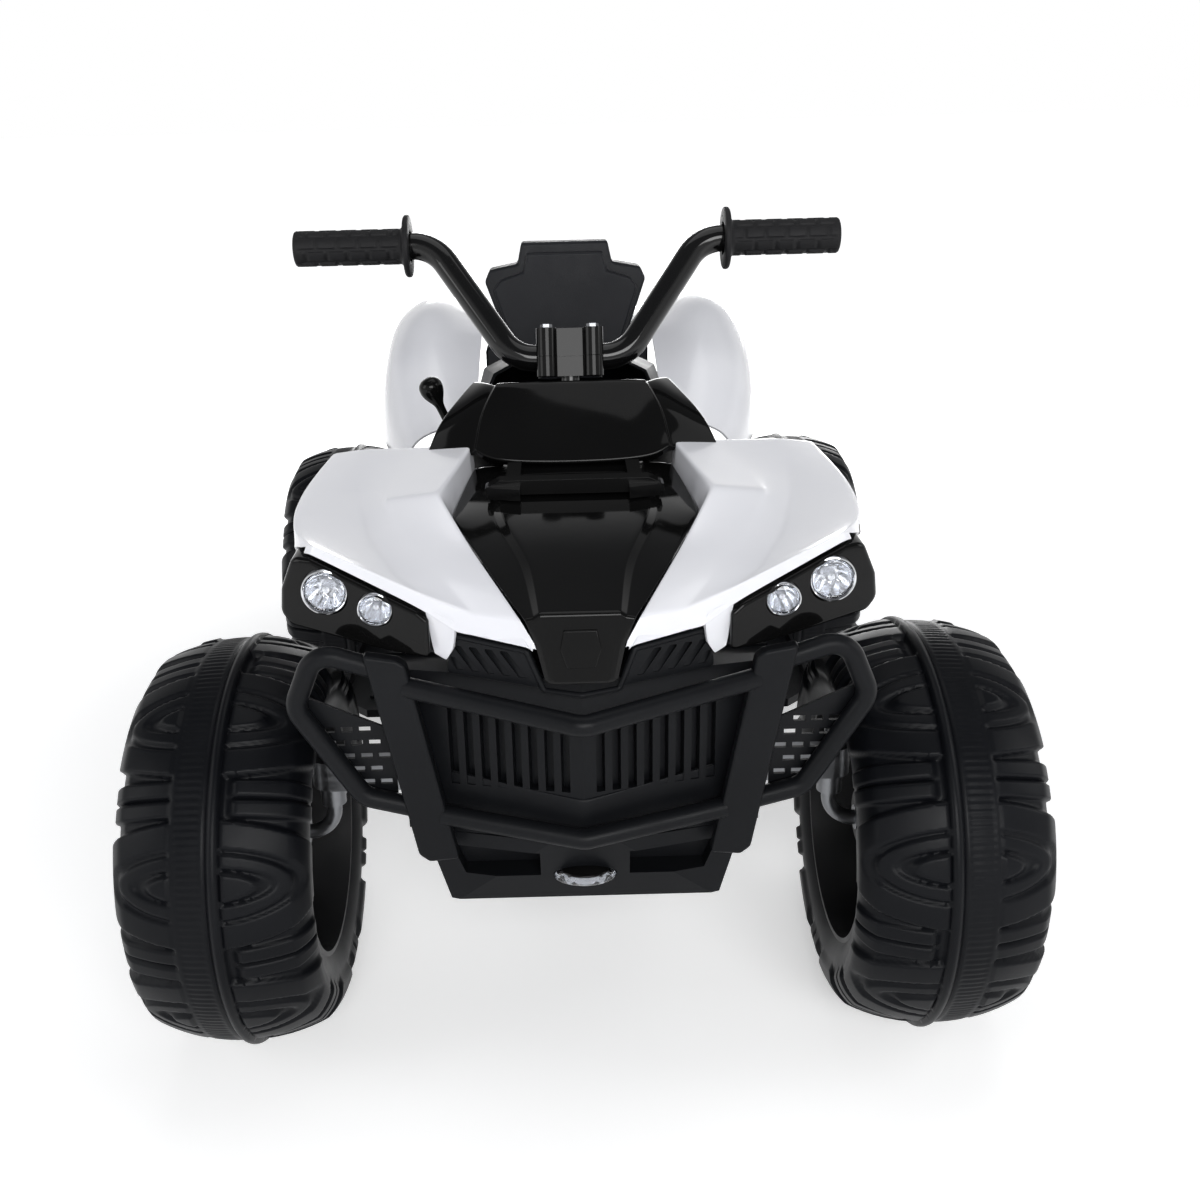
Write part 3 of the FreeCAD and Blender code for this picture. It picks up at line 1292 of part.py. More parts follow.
def build_fenders():
    rows = fender_rows()
    panel = faceted_panel(rows, size.panel_wall)
    lower = rows[-1]
    start = lower[2] + (lower[3] - lower[2]) * 0.5
    end = lower[3]
    upper_start = rows[-2][2] + (rows[-2][3] - rows[-2][2]) * 0.5
    drop = Vector(0, 0, -size.fender_tab_drop)
    corners = [upper_start, rows[-2][3], end, end + drop * 0.8, (start + end) * 0.5 + drop, start]
    normal = (corners[1] - corners[0]).cross(corners[-1] - corners[0]).normalize()
    inward = normal if normal.y > 0 else normal * -1
    flat = [point - normal * (point - corners[0]).dot(normal) for point in corners]
    tab = Part.Face(Part.makePolygon(flat + flat[:1])).extrude(inward * size.panel_wall)
    left = keep(solid("front_fender_left", panel.fuse(tab)), "front_fender_left")
    keep(mirrored("front_fender_right", left), "front_fender_right")


# Headlights

def pod_frame():
    """Corner, across direction and outward direction of the pod's slanted front."""
    y = value(from_front_axle("pod_inner_setback"))
    corner = Vector(size.pod_inner, y, size.pod_inner_height)
    across = Vector(size.pod_outer - size.pod_inner, size.pod_sweep, 0).normalize()
    return corner, across, Vector(across.y, -across.x, 0)


def lamp_centres():
    corner, across, outward = pod_frame()
    for x, height, radius in ((size.lamp_big_x, size.lamp_big_height, size.lamp_big_radius),
                              (size.lamp_small_x, size.lamp_small_height, size.lamp_small_radius)):
        run = (x - corner.x) / across.x
        yield Vector(x, corner.y + run * across.y, height), radius


def lamp_turn(section, centre):
    """Turns a section, drawn as (depth, radius) pairs, about a lamp's axis, which looks ahead."""
    points = [Vector(depth, radius, 0) for depth, radius in section]
    face = Part.Face(Part.makePolygon(points + points[:1]))
    shape = face.revolve(Vector(0, 0, 0), Vector(1, 0, 0), 360)
    shape.Placement = Placement(centre, Rotation(Vector(1, 0, 0), Vector(0, -1, 0)))
    return shape


def build_headlights():
    corner, across, outward = pod_frame()
    fender = fender_rows()[-1]
    drop = size.panel_wall - size.pod_top_lift
    brow = [fender[3], fender[4]]
    run = (size.pod_outer - size.pod_inner) / across.x
    rise = brow[1].z - drop - corner.z
    # the top edge follows the fender's lower edge
    top_inner = Vector(corner.x, corner.y, brow[0].z - drop)
    top_outer_run = (brow[1].x - corner.x) / across.x
    top_outer = corner + across * top_outer_run + Vector(0, 0, rise)
    corners = [top_inner, top_outer]
    for along, up in ((1.0, 0.5), (0.94, 0.14), (0.28, -0.1), (0.02, 0.06)):
        corners.append(corner + across * (run * along) + Vector(0, 0, rise * up))
    face = Part.Face(Part.makePolygon(corners + corners[:1]))
    pod = face.extrude(outward * -size.pod_depth)
    reflectors = []
    lenses = []
    wall = size.lamp_wall
    gap = size.running_gap
    for centre, radius in lamp_centres():
        depth = size.lamp_depth
        pod = pod.cut(lamp_turn([(-depth, 0), (radius, 0), (radius, radius), (-depth, radius)], centre))
        rim = radius - gap
        back = -depth + gap
        front = -size.lens_thickness - gap
        reflectors.append(lamp_turn([(back, 0), (back, rim * 0.5), (front, rim), (front, rim - wall),
                                     (back + wall, rim * 0.5 - wall), (back + wall, 0)], centre))
        lenses.append(lamp_turn([(-size.lens_thickness, 0), (-size.lens_thickness, rim), (0, rim),
                                 (size.lens_thickness * 0.7, rim * 0.6), (size.lens_thickness, 0)], centre))
    left = keep(solid("headlight_pod_left", pod), "headlight_pod_left")
    keep(mirrored("headlight_pod_right", left), "headlight_pod_right")
    for label, shapes in (("headlight_reflectors", reflectors), ("headlight_lenses", lenses)):
        other = [shape.mirror(Vector(0, 0, 0), Vector(1, 0, 0)) for shape in shapes]
        keep(solid(label, Part.makeCompound(shapes + other)), label)


# Chin grille, radiator grille, skid panel

def wedge_body(label, half, tip, side, back, bottom, height):
    """A block whose plan comes to a blunt point at the front."""
    body = new_body(label)
    sketch = new_sketch(body, "XY_Plane", bottom)
    add_polygon(sketch, [("-" + half, back), ("-" + half, side), ("0", tip), (half, side), (half, back)])
    pad(body, sketch, height)
    return body


def build_chin():
    body = wedge_body("chin_grille", "Sizes.chin_half_width", from_front_axle("chin_tip"),
                      from_front_axle("chin_side"), from_front_axle("chin_back"),
                      "Sizes.chin_bottom", "Sizes.chin_height")
    through = "2 * Sizes.overall_length"
    notch = new_sketch(body, "XZ_Plane")
    shelf = "(Sizes.chin_bottom + Sizes.chin_bar_height)"
    roof = "(Sizes.chin_bottom + Sizes.chin_height + Sizes.cut_overrun)"
    add_polygon(notch, [("-Sizes.chin_notch_half", shelf), ("Sizes.chin_notch_half", shelf),
                        ("Sizes.chin_notch_half", roof), ("-Sizes.chin_notch_half", roof)])
    pocket(body, notch, through, symmetric=True)
    margin = "Sizes.chin_slot_margin"
    low = "(Sizes.chin_bottom + %s)" % margin
    high = "(Sizes.chin_bottom + Sizes.chin_height - %s)" % margin
    slots = new_sketch(body, "XZ_Plane", "Sizes.chin_slot_wall - " + from_front_axle("chin_back"))
    for side in (1, -1):
        for index in range(chin_slot_count):
            start = "(Sizes.chin_notch_half + %s + %d * Sizes.chin_slot_pitch)" % (margin, index)
            lean = "Sizes.chin_slot_lean"
            width = "Sizes.chin_slot_width"
            corners = [(start, low), ("%s + %s" % (start, width), low),
                       ("%s + %s + %s" % (start, width, lean), high), ("%s + %s" % (start, lean), high)]
            if side < 0:
                corners = [("-(%s)" % x, z) for x, z in corners]
            add_polygon(slots, corners)
    pocket(body, slots, through, backward=True)
    keep(body, "chin_grille")


def build_grille():
    top = "Sizes.chin_bottom - Sizes.fit_gap - Sizes.grille_bottom"
    body = wedge_body("grille_panel", "Sizes.grille_half_width", from_front_axle("grille_tip"),
                      from_front_axle("grille_side"), tub_front,
                      "Sizes.grille_bottom", top)
    lean = "atan((Sizes.grille_side - Sizes.grille_tip) / Sizes.grille_half_width)"
    for side in (1, -1):
        slot = new_sketch(body, "XY_Plane")
        angle = math.degrees(math.atan2(size.grille_side - size.grille_tip, size.grille_half_width))
        facing = 0 if side > 0 else 180
        slot.AttachmentOffset = Placement(
            Vector(0, value(from_front_axle("grille_tip")), size.grille_slot_bottom),
            Rotation(Vector(0, 0, 1), facing + side * angle))
        slot.setExpression("AttachmentOffset.Base.y", from_front_axle("grille_tip"))
        slot.setExpression("AttachmentOffset.Base.z", "Sizes.grille_slot_bottom")
        slot.setExpression("AttachmentOffset.Rotation.Angle", "%d deg + %d * %s" % (facing, side, lean))
        near = "-Sizes.cut_overrun" if side > 0 else "Sizes.cut_overrun"
        deep = "Sizes.grille_slot_depth" if side > 0 else "-Sizes.grille_slot_depth"
        start = "Sizes.grille_slot_start"
        end = "(Sizes.grille_slot_start + Sizes.grille_slot_width)"
        add_polygon(slot, [(start, near), (end, near), (end, deep), (start, deep)])
        groove = pocket(body, slot, "Sizes.grille_slot_height", backward=True)
        count = int(size.grille_slot_count)
        repeat_along(body, groove, slot, count, "Sizes.grille_slot_pitch * %d" % (count - 1))
    keep(body, "grille_panel")


def build_skid():
    body = new_body("skid_moulding")
    sketch = new_sketch(body, "YZ_Plane")
    roof = "(Sizes.grille_bottom - Sizes.fit_gap)"
    under = "(Sizes.front_belly_height - Sizes.fit_gap)"
    chin_share = "(Sizes.grille_bottom - Sizes.front_belly_height) / Sizes.tub_chin_rise"
    add_polygon(sketch, [
        (from_front_axle("skid_front_top"), roof),
        (from_front_axle("skid_front_bottom"), "Sizes.skid_bottom"),
        (from_front_axle("skid_rear"), "Sizes.skid_rear_bottom"), (from_front_axle("skid_rear"), under),
        ("%s + Sizes.tub_chin_run - 2 * Sizes.fit_gap" % tub_front, under),
        ("%s + Sizes.tub_chin_run * (1 - %s) - 2 * Sizes.fit_gap" % (tub_front, chin_share), roof)])
    pad(body, sketch, "2 * Sizes.skid_half_width", symmetric=True)
    front = from_front_axle("skid_front_top")
    sweep = new_sketch(body, "XY_Plane", "Sizes.skid_bottom - Sizes.cut_overrun")
    for side in (1, -1):
        wide = "%d * (Sizes.skid_half_width + Sizes.cut_overrun)" % side
        add_polygon(sweep, [
            ("%d * Sizes.fog_half_width" % side, front + " - Sizes.cut_overrun"),
            (wide, front + " - Sizes.cut_overrun"), (wide, front + " + Sizes.skid_sweep"),
            ("%d * Sizes.fog_half_width" % side, front)])
    pocket(body, sweep, "Sizes.grille_bottom - Sizes.skid_bottom + 2 * Sizes.cut_overrun", backward=True)
    flank = new_sketch(body, "XZ_Plane")
    for sign in ("", "-"):
        beyond = sign + "(Sizes.skid_half_width + Sizes.cut_overrun)"
        below = "(Sizes.skid_bottom - Sizes.cut_overrun)"
        add_polygon(flank, [
            (beyond, roof), (sign + "Sizes.skid_half_width", roof),
            (sign + "Sizes.skid_base_half", "Sizes.skid_bottom"),
            (sign + "Sizes.skid_base_half", below), (beyond, below)])
    pocket(body, flank, "2 * Sizes.overall_length", symmetric=True)
    recess = new_sketch(body, "XZ_Plane", "-%s - Sizes.skid_sweep - Sizes.skid_pocket_depth" % front)
    low = "Sizes.fog_height"
    high = "(Sizes.fog_height + Sizes.skid_pocket_height)"
    for side in (1, -1):
        inner = "%d * (Sizes.skid_pocket_x - Sizes.skid_pocket_half)" % side
        outer = "%d * (Sizes.skid_pocket_x + Sizes.skid_pocket_half)" % side
        slope = "%d * (Sizes.skid_pocket_x + Sizes.skid_pocket_half * 0.7)" % side
        add_polygon(recess, [(inner, low), (slope, low), (outer, high), (inner, high)])
    pocket(body, recess, "3 * Sizes.skid_sweep", backward=True)
    fog_y = "(%s + (Sizes.skid_front_bottom - Sizes.skid_front_top) * (%s - Sizes.fog_height)" % (front, roof)
    fog_y += " / (%s - Sizes.skid_bottom))" % roof
    shapes = {}
    for name, gap in (("fog_pocket", "Sizes.fit_gap"), ("fog_lamp_lens", "0")):
        blob = doc.addObject("Part::Ellipsoid", name)
        bind(blob, Radius1="Sizes.fog_half_height + " + gap, Radius2="Sizes.fog_half_width + " + gap,
             Radius3="Sizes.fog_half_depth + " + gap)
        shapes[name] = place(blob, "0", fog_y, "Sizes.fog_height")
    keep(cut("skid_panel", body, shapes["fog_pocket"]), "skid_panel")
    keep(shapes["fog_lamp_lens"], "fog_lamp_lens")


# Bumper

def build_bumper():
    plane_y = value(from_front_axle("bumper_plane"))
    hoop_y = value(from_front_axle("hoop_plane"))
    tip_y = size.bumper_tube_radius - size.overall_length / 2
    half_angle = math.atan2(size.strap_top_x, plane_y - tip_y)
    tip_y -= size.bumper_bend * (1 / math.sin(half_angle) - 1)
    radius = "Sizes.bumper_tube_radius"
    parts = []

    def strap_x(height):
        share = (size.strap_top - height) / (size.strap_top - size.strap_bottom)
        return size.strap_top_x + share * (size.strap_bottom_x - size.strap_top_x)

    upper = size.bumper_upper_height
    lower = size.bumper_lower_height
    low_tip_y = value(from_front_axle("bumper_lower_tip"))
    for label, height, y, tip_height in (("upper_bar", upper, tip_y, size.bumper_upper_tip_height),
                                         ("lower_bar", lower, low_tip_y, size.bumper_lower_tip_height)):
        x = strap_x(height) - size.strap_half_width + size.panel_wall
        path = [Vector(-x, plane_y, height), Vector(0, y, tip_height), Vector(x, plane_y, height)]
        parts.append(tube("bumper_" + label, path, radius, size.bumper_bend))
    for side in (1, -1):
        inner_top = Vector(side * strap_x(size.hoop_top_inner), hoop_y, size.hoop_top_inner)
        inner_low = Vector(side * strap_x(size.hoop_low_inner), hoop_y, size.hoop_low_inner)
        path = [inner_top, Vector(side * size.hoop_top_x, hoop_y, size.hoop_top_outer),
                Vector(side * size.hoop_outer_x, hoop_y, size.hoop_outer),
                Vector(side * size.hoop_low_x, hoop_y, size.hoop_low), inner_low]
        parts.append(tube("bumper_hoop", path, radius, size.bumper_bend))
        strap = new_body("bumper_strap")
        front = new_sketch(strap, "XZ_Plane", "-" + from_front_axle("hoop_plane"))
        half = "Sizes.strap_half_width"
        sign = "" if side > 0 else "-"
        add_polygon(front, [
            (sign + "(Sizes.strap_top_x - %s)" % half, "Sizes.strap_top"),
            (sign + "(Sizes.strap_top_x + %s)" % half, "Sizes.strap_top"),
            (sign + "(Sizes.strap_bottom_x + %s)" % half, "Sizes.strap_bottom"),
            (sign + "(Sizes.strap_bottom_x - %s)" % half, "Sizes.strap_bottom")])
        pad(strap, front, "Sizes.hoop_plane - Sizes.bumper_plane + Sizes.strap_thickness / 2")
        parts.append(strap)
        boss_x = "%d * Sizes.bumper_boss_x" % side
        slope = "((Sizes.grille_side - Sizes.grille_tip) / Sizes.grille_half_width)"
        wall_y = "(%s - %s * (Sizes.grille_half_width - Sizes.bumper_boss_x + Sizes.bumper_boss_radius))" % (
            from_front_axle("grille_side"), slope)
        parts.append(cylinder("bumper_boss", "Sizes.bumper_boss_radius",
                              "%s - Sizes.fit_gap - %s" % (wall_y, from_front_axle("bumper_plane")),
                              Vector(0, 1, 0), boss_x, from_front_axle("bumper_plane"),
                              "Sizes.bumper_boss_height"))
    keep(fused("front_bumper", *parts), "front_bumper")

    mesh = new_body("bumper_mesh")
    back = "-(%s + Sizes.bumper_tube_radius + Sizes.fit_gap)" % from_front_axle("hoop_plane")
    sheet_face = new_sketch(mesh, "XZ_Plane", back)
    inner_x = "(Sizes.grille_half_width + Sizes.cut_overrun)"
    add_polygon(sheet_face, [
        (inner_x, "Sizes.hoop_low_inner"), ("Sizes.hoop_low_x", "Sizes.hoop_low"),
        ("Sizes.hoop_outer_x", "Sizes.hoop_outer"), ("Sizes.hoop_outer_x - Sizes.bumper_tube_radius",
                                                     "Sizes.hoop_outer + Sizes.bumper_tube_radius / 2"),
        (inner_x, "Sizes.hoop_low_inner + (Sizes.hoop_outer - Sizes.hoop_low_inner) * 0.72")])
    pad(mesh, sheet_face, "Sizes.mesh_thickness", backward=True)
    holes = new_sketch(mesh, "XZ_Plane", back)
    for row, (first, count) in enumerate(mesh_hole_rows):
        for column in range(first, first + count):
            x = "(%s + Sizes.mesh_pitch_x * %s)" % (inner_x, 0.6 + column + 0.5 * (row % 2))
            z = "(Sizes.hoop_low + Sizes.bumper_tube_radius + Sizes.mesh_pitch_z * %d)" % row
            long_half = "Sizes.mesh_slot_length / 2"
            tall_half = "Sizes.mesh_slot_height / 2"
            add_polygon(holes, [("%s - %s" % (x, long_half), "%s - %s" % (z, tall_half)),
                                ("%s + %s" % (x, long_half), "%s - %s" % (z, tall_half)),
                                ("%s + %s" % (x, long_half), "%s + %s" % (z, tall_half)),
                                ("%s - %s" % (x, long_half), "%s + %s" % (z, tall_half))])
    pocket(mesh, holes, "4 * Sizes.mesh_thickness", symmetric=True)
    left = keep(mesh, "bumper_mesh_left")
    keep(mirrored("bumper_mesh_right", left), "bumper_mesh_right")


# Front rack, cowl, tank cover

def build_rack():
    body = new_body("front_rack")
    back = "(%s + Sizes.rack_front_setback)" % front_axle
    bar = new_sketch(body, "XZ_Plane", "-" + back)
    base = "(Sizes.rack_ground + Sizes.rack_foot_inset)"
    roof = "(%s + Sizes.rack_bar_height)" % base
    wide = "Sizes.rack_half_width"
    shoulder = "(Sizes.rack_half_width - Sizes.rack_bar_height)"
    add_polygon(bar, [("-" + wide, base), (wide, base), (wide, base + " + Sizes.rack_bar_height / 2"),
                      (shoulder, roof), ("-" + shoulder, roof),
                      ("-" + wide, base + " + Sizes.rack_bar_height / 2")])
    pad(body, bar, "Sizes.rack_bar_depth")
    feet = new_sketch(body, "XY_Plane", "Sizes.rack_ground")
    for side in (1, -1):
        outer = "%d * (%s - Sizes.rack_foot_inset)" % (side, wide)
        inner = "%d * (%s - Sizes.rack_foot_inset - Sizes.rack_foot_width)" % (side, wide)
        add_polygon(feet, [(inner, back), (outer, back), (outer, back + " - Sizes.rack_foot_depth * 0.7"),
                           (inner, back + " - Sizes.rack_foot_depth")])
    pad(body, feet, "Sizes.rack_bar_height * 0.8")
    arms = new_sketch(body, "XY_Plane", base)
    for side in (1, -1):
        inner = "%d * (Sizes.rack_arm_x - Sizes.rack_arm_width / 2)" % side
        outer = "%d * (Sizes.rack_arm_x + Sizes.rack_arm_width / 2)" % side
        end = back + " + Sizes.rack_arm_reach"
        add_polygon(arms, [(inner, back + " - Sizes.rack_bar_depth / 2"),
                           (outer, back + " - Sizes.rack_bar_depth / 2"), (outer, end), (inner, end)])
    pad(body, arms, "Sizes.rack_arm_height")
    keep(body, "front_rack")


def build_cowl():
    front = value(from_front_axle("cowl_front_setback"))
    rows = []
    for line in cowl_row_shares:
        rows.append([Vector(across * size.cowl_half_width, front + along * size.cowl_length,
                            size.cowl_top - down * size.cowl_drop) for across, along, down in line])
    rows.reverse()
    panel = faceted_panel([both_sides(row) for row in rows], size.panel_wall)
    y = value(from_front_axle("cowl_post_setback"))
    posts = [post_under(rows, side * size.cowl_post_x, y, size.pedestal_height) for side in (1, -1)]
    skin = solid("cowl_skin", panel.multiFuse(posts))
    hole = on_column(cylinder("cowl_hole", "Sizes.cowl_hole_radius", "Sizes.column_length * 2"))
    keep(cut("dash_cowl", skin, hole), "dash_cowl")


def build_tank():
    front = value(from_front_axle("tank_front_setback"))
    rise = size.tank_top - size.deck_height
    rows = []
    for along, half in tank_row_shares:
        y = front + along * size.tank_length
        rows.append([Vector(across * size.tank_half_width, y, size.deck_height + up * rise)
                     for across, up in half])
    rows.reverse()
    panel = faceted_panel([both_sides(row) for row in rows], size.panel_wall)
    skin = solid("tank_skin", panel)
    y = from_front_axle("button_setback")
    top = "(%.3f)" % between(rows, value(y), 0).z
    holes = []
    for name, side in (("power_button", 1), ("horn_button", -1)):
        x = "%d * Sizes.button_spacing / 2" % side
        holes.append(cylinder(name + "_hole", "Sizes.button_radius + Sizes.button_gap", "Sizes.tank_top",
                              x=x, y=y, z="Sizes.deck_height"))
        button = new_body(name)
        sketch = new_sketch(button, "XZ_Plane")
        crown = "(Sizes.button_length - Sizes.lamp_wall)"
        add_polygon(sketch, [("0", "0"), ("Sizes.button_radius", "0"), ("Sizes.button_radius", crown),
                             ("Sizes.button_radius - Sizes.lamp_wall", "Sizes.button_length"),
                             ("0", "Sizes.button_length")])
        revolve(button, sketch, "V_Axis")
        place(keep(button, name), x, y, top + " + Sizes.button_proud - Sizes.button_length")
    keep(cut("tank_cover", skin, *holes), "tank_cover")


# Rear body and seat

def build_rear_body():
    front = value(from_front_axle("rear_front_setback"))
    length = size.overall_length / 2 - front
    rise = size.rear_top - size.rear_side_bottom
    rows = []
    for along, width, height, half in rear_row_shares:
        y = front + along * length
        line = [Vector(across * width * size.rear_half_width, y, size.rear_side_bottom + up * height * rise)
                for across, up in half]
        middle = Vector(0, y, line[-1].z)
        mirror = [Vector(-point.x, point.y, point.z) for point in reversed(line)]
        rows.append(line + [middle] + mirror)
    skin = smooth_panel(rows, size.rear_wall)
    gap = size.seat_half_width + size.seat_gap
    seat_end = value(seat_back) + size.seat_gap
    well = Part.makeBox(2 * gap, seat_end - front + size.cut_overrun, size.seat_back_height,
                        Vector(-gap, front - size.cut_overrun, size.deck_height))
    shape = skin.cut(well)
    posts = []
    surface = smooth_surface(rows)
    for setback in (size.rear_post_front, size.rear_post_rear):
        y = seat_end + setback
        foot = Vector(size.rear_post_x, y, size.tail_tower_height)
        line = Part.LineSegment(foot, foot + Vector(0, 0, size.rear_top)).toShape()
        top = line.section(surface.toShape()).Vertexes[0].Z - size.rear_wall / 2
        for side in (1, -1):
            posts.append(Part.makeCylinder(size.post_radius, top - size.tail_tower_height,
                                           Vector(side * size.rear_post_x, y, size.tail_tower_height)))
    keep(solid("rear_body", shape.multiFuse(posts)), "rear_body")


def build_seat():
    body = new_body("seat")
    front = seat_front
    back = seat_back
    deck = "Sizes.deck_height"
    crest = "(%s - Sizes.seat_back_thickness)" % back
    profile = new_sketch(body, "YZ_Plane")
    add_polygon(profile, [
        (front, deck), (front, "Sizes.seat_height - Sizes.seat_back_lean"),
        (front + " + Sizes.seat_length * 0.18", "Sizes.seat_height"),
        (front + " + Sizes.seat_length * 0.72", "Sizes.seat_height - Sizes.seat_back_lean / 2"),
        (crest + " - Sizes.seat_back_lean", "Sizes.seat_height + Sizes.seat_back_lean"),
        (crest, "Sizes.seat_back_height"), (back, "Sizes.seat_back_height"), (back, deck)])
    pad(body, profile, "2 * Sizes.seat_half_width", symmetric=True)
    outside = "(Sizes.seat_half_width + Sizes.cut_overrun)"
    over = "(Sizes.seat_back_height + Sizes.cut_overrun)"
    shape = new_sketch(body, "XZ_Plane")
    for sign in ("", "-"):
        add_polygon(shape, [
            (sign + outside, "Sizes.seat_height + 2 * Sizes.seat_back_lean"),
            (sign + "Sizes.seat_back_waist_half", "Sizes.seat_back_waist"),
            (sign + "Sizes.seat_back_half", "Sizes.seat_back_widest"),
            (sign + "(Sizes.seat_back_half - Sizes.seat_wall)", "Sizes.seat_back_step - Sizes.seat_wall"),
            (sign + "Sizes.seat_back_step_half", "Sizes.seat_back_step"),
            (sign + "Sizes.seat_back_crown_half", over), (sign + outside, over)])
    pocket(body, shape, "2 * Sizes.overall_length", symmetric=True)
    hollow = new_sketch(body, "XY_Plane", deck)
    inside = "(Sizes.seat_half_width - Sizes.seat_wall)"
    add_polygon(hollow, [("-" + inside, front + " + Sizes.seat_wall"), (inside, front + " + Sizes.seat_wall"),
                         (inside, back + " - Sizes.seat_wall"), ("-" + inside, back + " - Sizes.seat_wall")])
    pocket(body, hollow, "Sizes.seat_height - 2 * Sizes.seat_back_lean - Sizes.deck_height", backward=True)
    keep(body, "seat")


# Gear lever and pedal

def build_lever():
    body = new_body("lever_stick")
    sketch = new_sketch(body, "XZ_Plane")
    stalk = "Sizes.lever_stalk_radius"
    knob_top = "(Sizes.lever_stalk + Sizes.lever_knob)"
    add_polygon(sketch, [
        ("0", "0"), (stalk, "0"), (stalk + " * 0.9", "Sizes.lever_stalk"),
        ("Sizes.lever_knob_radius * 0.85", "Sizes.lever_stalk + Sizes.lever_knob * 0.4"),
        ("Sizes.lever_knob_radius", "Sizes.lever_stalk + Sizes.lever_knob * 0.65"),
        ("Sizes.lever_knob_radius * 0.7", "Sizes.lever_stalk + Sizes.lever_knob * 0.93"),
        ("0", knob_top)])
    revolve(body, sketch, "V_Axis")
    across_share, up_share = lever_ridge_shares
    ridge_x = "Sizes.tank_half_width * %s + Sizes.fit_gap" % across_share
    ridge_z = "(Sizes.deck_height + %s * (Sizes.tank_top - Sizes.deck_height))" % up_share
    lever_x = "-(%s + Sizes.lever_boss / 2)" % ridge_x
    turn(body, Vector(0, -1, 0), "Sizes.lever_lean")
    place(body, lever_x, from_front_axle("lever_setback"), ridge_z)
    boss = cylinder("lever_boss", "Sizes.lever_boss_radius", "Sizes.lever_boss", Vector(1, 0, 0),
                    lever_x + " - Sizes.lever_boss / 2", from_front_axle("lever_setback"), ridge_z)
    keep(fused("gear_lever", body, boss), "gear_lever")


def build_pedal():
    plate = new_body("pedal_plate")
    sketch = new_sketch(plate, "YZ_Plane")
    thick = "Sizes.pedal_thickness"
    add_polygon(sketch, [
        ("0", "0 * Sizes.pedal_thickness"), ("-Sizes.pedal_length", "0 * Sizes.pedal_thickness"),
        ("-Sizes.pedal_length - %s" % thick, thick + " * 0.6"), ("-Sizes.pedal_length", thick), ("0", thick)])
    pad(plate, sketch, "2 * Sizes.pedal_half_width", symmetric=True)
    turn(plate, Vector(-1, 0, 0), "Sizes.pedal_tilt")
    place(plate, "-Sizes.pedal_x", "Sizes.pedal_y", "Sizes.pedal_hinge_height")
    start = "-Sizes.pedal_x - Sizes.pedal_half_width"
    barrel = cylinder("pedal_barrel", "Sizes.pedal_barrel_radius - Sizes.fit_gap",
                      "2 * Sizes.pedal_half_width", Vector(1, 0, 0), start, "Sizes.pedal_y",
                      "Sizes.pedal_hinge_height")
    pin = cylinder("pedal_pin", "Sizes.pedal_pin_radius",
                   "2 * (Sizes.pedal_half_width + Sizes.pedal_ear)", Vector(1, 0, 0),
                   start + " - Sizes.pedal_ear", "Sizes.pedal_y", "Sizes.pedal_hinge_height")
    keep(fused("accelerator_pedal", plate, barrel, pin), "accelerator_pedal")


build_wheels()
build_tub()
build_footrests()
build_front_axle()
build_knuckles()
build_tie_rod()
build_column()
build_handlebar()
build_drive()
build_hood()
build_fenders()
build_headlights()
build_chin()
build_grille()
build_skid()
build_bumper()
build_rack()
build_cowl()
build_tank()
build_rear_body()
build_seat()
build_lever()
build_pedal()
doc.recompute()

failed = [item.Label for item in doc.Objects if "Invalid" in item.State or "Error" in item.State]
bad = [label for label, item in nodes.items() if item.Shape.isNull() or not item.Shape.isValid()]
if failed or bad:
    raise SystemExit("failed objects %s, bad shapes %s" % (failed, bad))

os.makedirs("parts", exist_ok=True)
for label, item in nodes.items():
    item.Shape.exportStep("parts/%s.step" % label)
print("%d nodes written" % len(nodes))
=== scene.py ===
import bmesh
import bpy
import json
import math
from mathutils import Matrix, Quaternion, Vector


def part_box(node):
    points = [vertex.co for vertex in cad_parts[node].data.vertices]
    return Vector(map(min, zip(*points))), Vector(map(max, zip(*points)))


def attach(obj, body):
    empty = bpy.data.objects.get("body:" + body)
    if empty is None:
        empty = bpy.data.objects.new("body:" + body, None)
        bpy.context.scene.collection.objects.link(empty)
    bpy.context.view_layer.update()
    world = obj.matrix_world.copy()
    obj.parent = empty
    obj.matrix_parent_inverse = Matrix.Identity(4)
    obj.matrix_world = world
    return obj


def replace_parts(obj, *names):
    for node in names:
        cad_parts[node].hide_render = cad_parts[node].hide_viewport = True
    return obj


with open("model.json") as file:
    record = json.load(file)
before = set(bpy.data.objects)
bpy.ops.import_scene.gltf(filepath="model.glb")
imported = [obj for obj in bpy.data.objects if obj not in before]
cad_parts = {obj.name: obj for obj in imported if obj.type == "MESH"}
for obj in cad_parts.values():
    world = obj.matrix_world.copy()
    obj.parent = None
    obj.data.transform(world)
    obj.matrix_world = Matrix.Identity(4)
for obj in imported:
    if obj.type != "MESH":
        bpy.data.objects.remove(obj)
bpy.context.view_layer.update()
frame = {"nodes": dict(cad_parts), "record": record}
nodes = frame["nodes"]
print("stage: frame loaded")


# Finishes: tone and worn are the two ends of the colour, sheen the two ends of the roughness

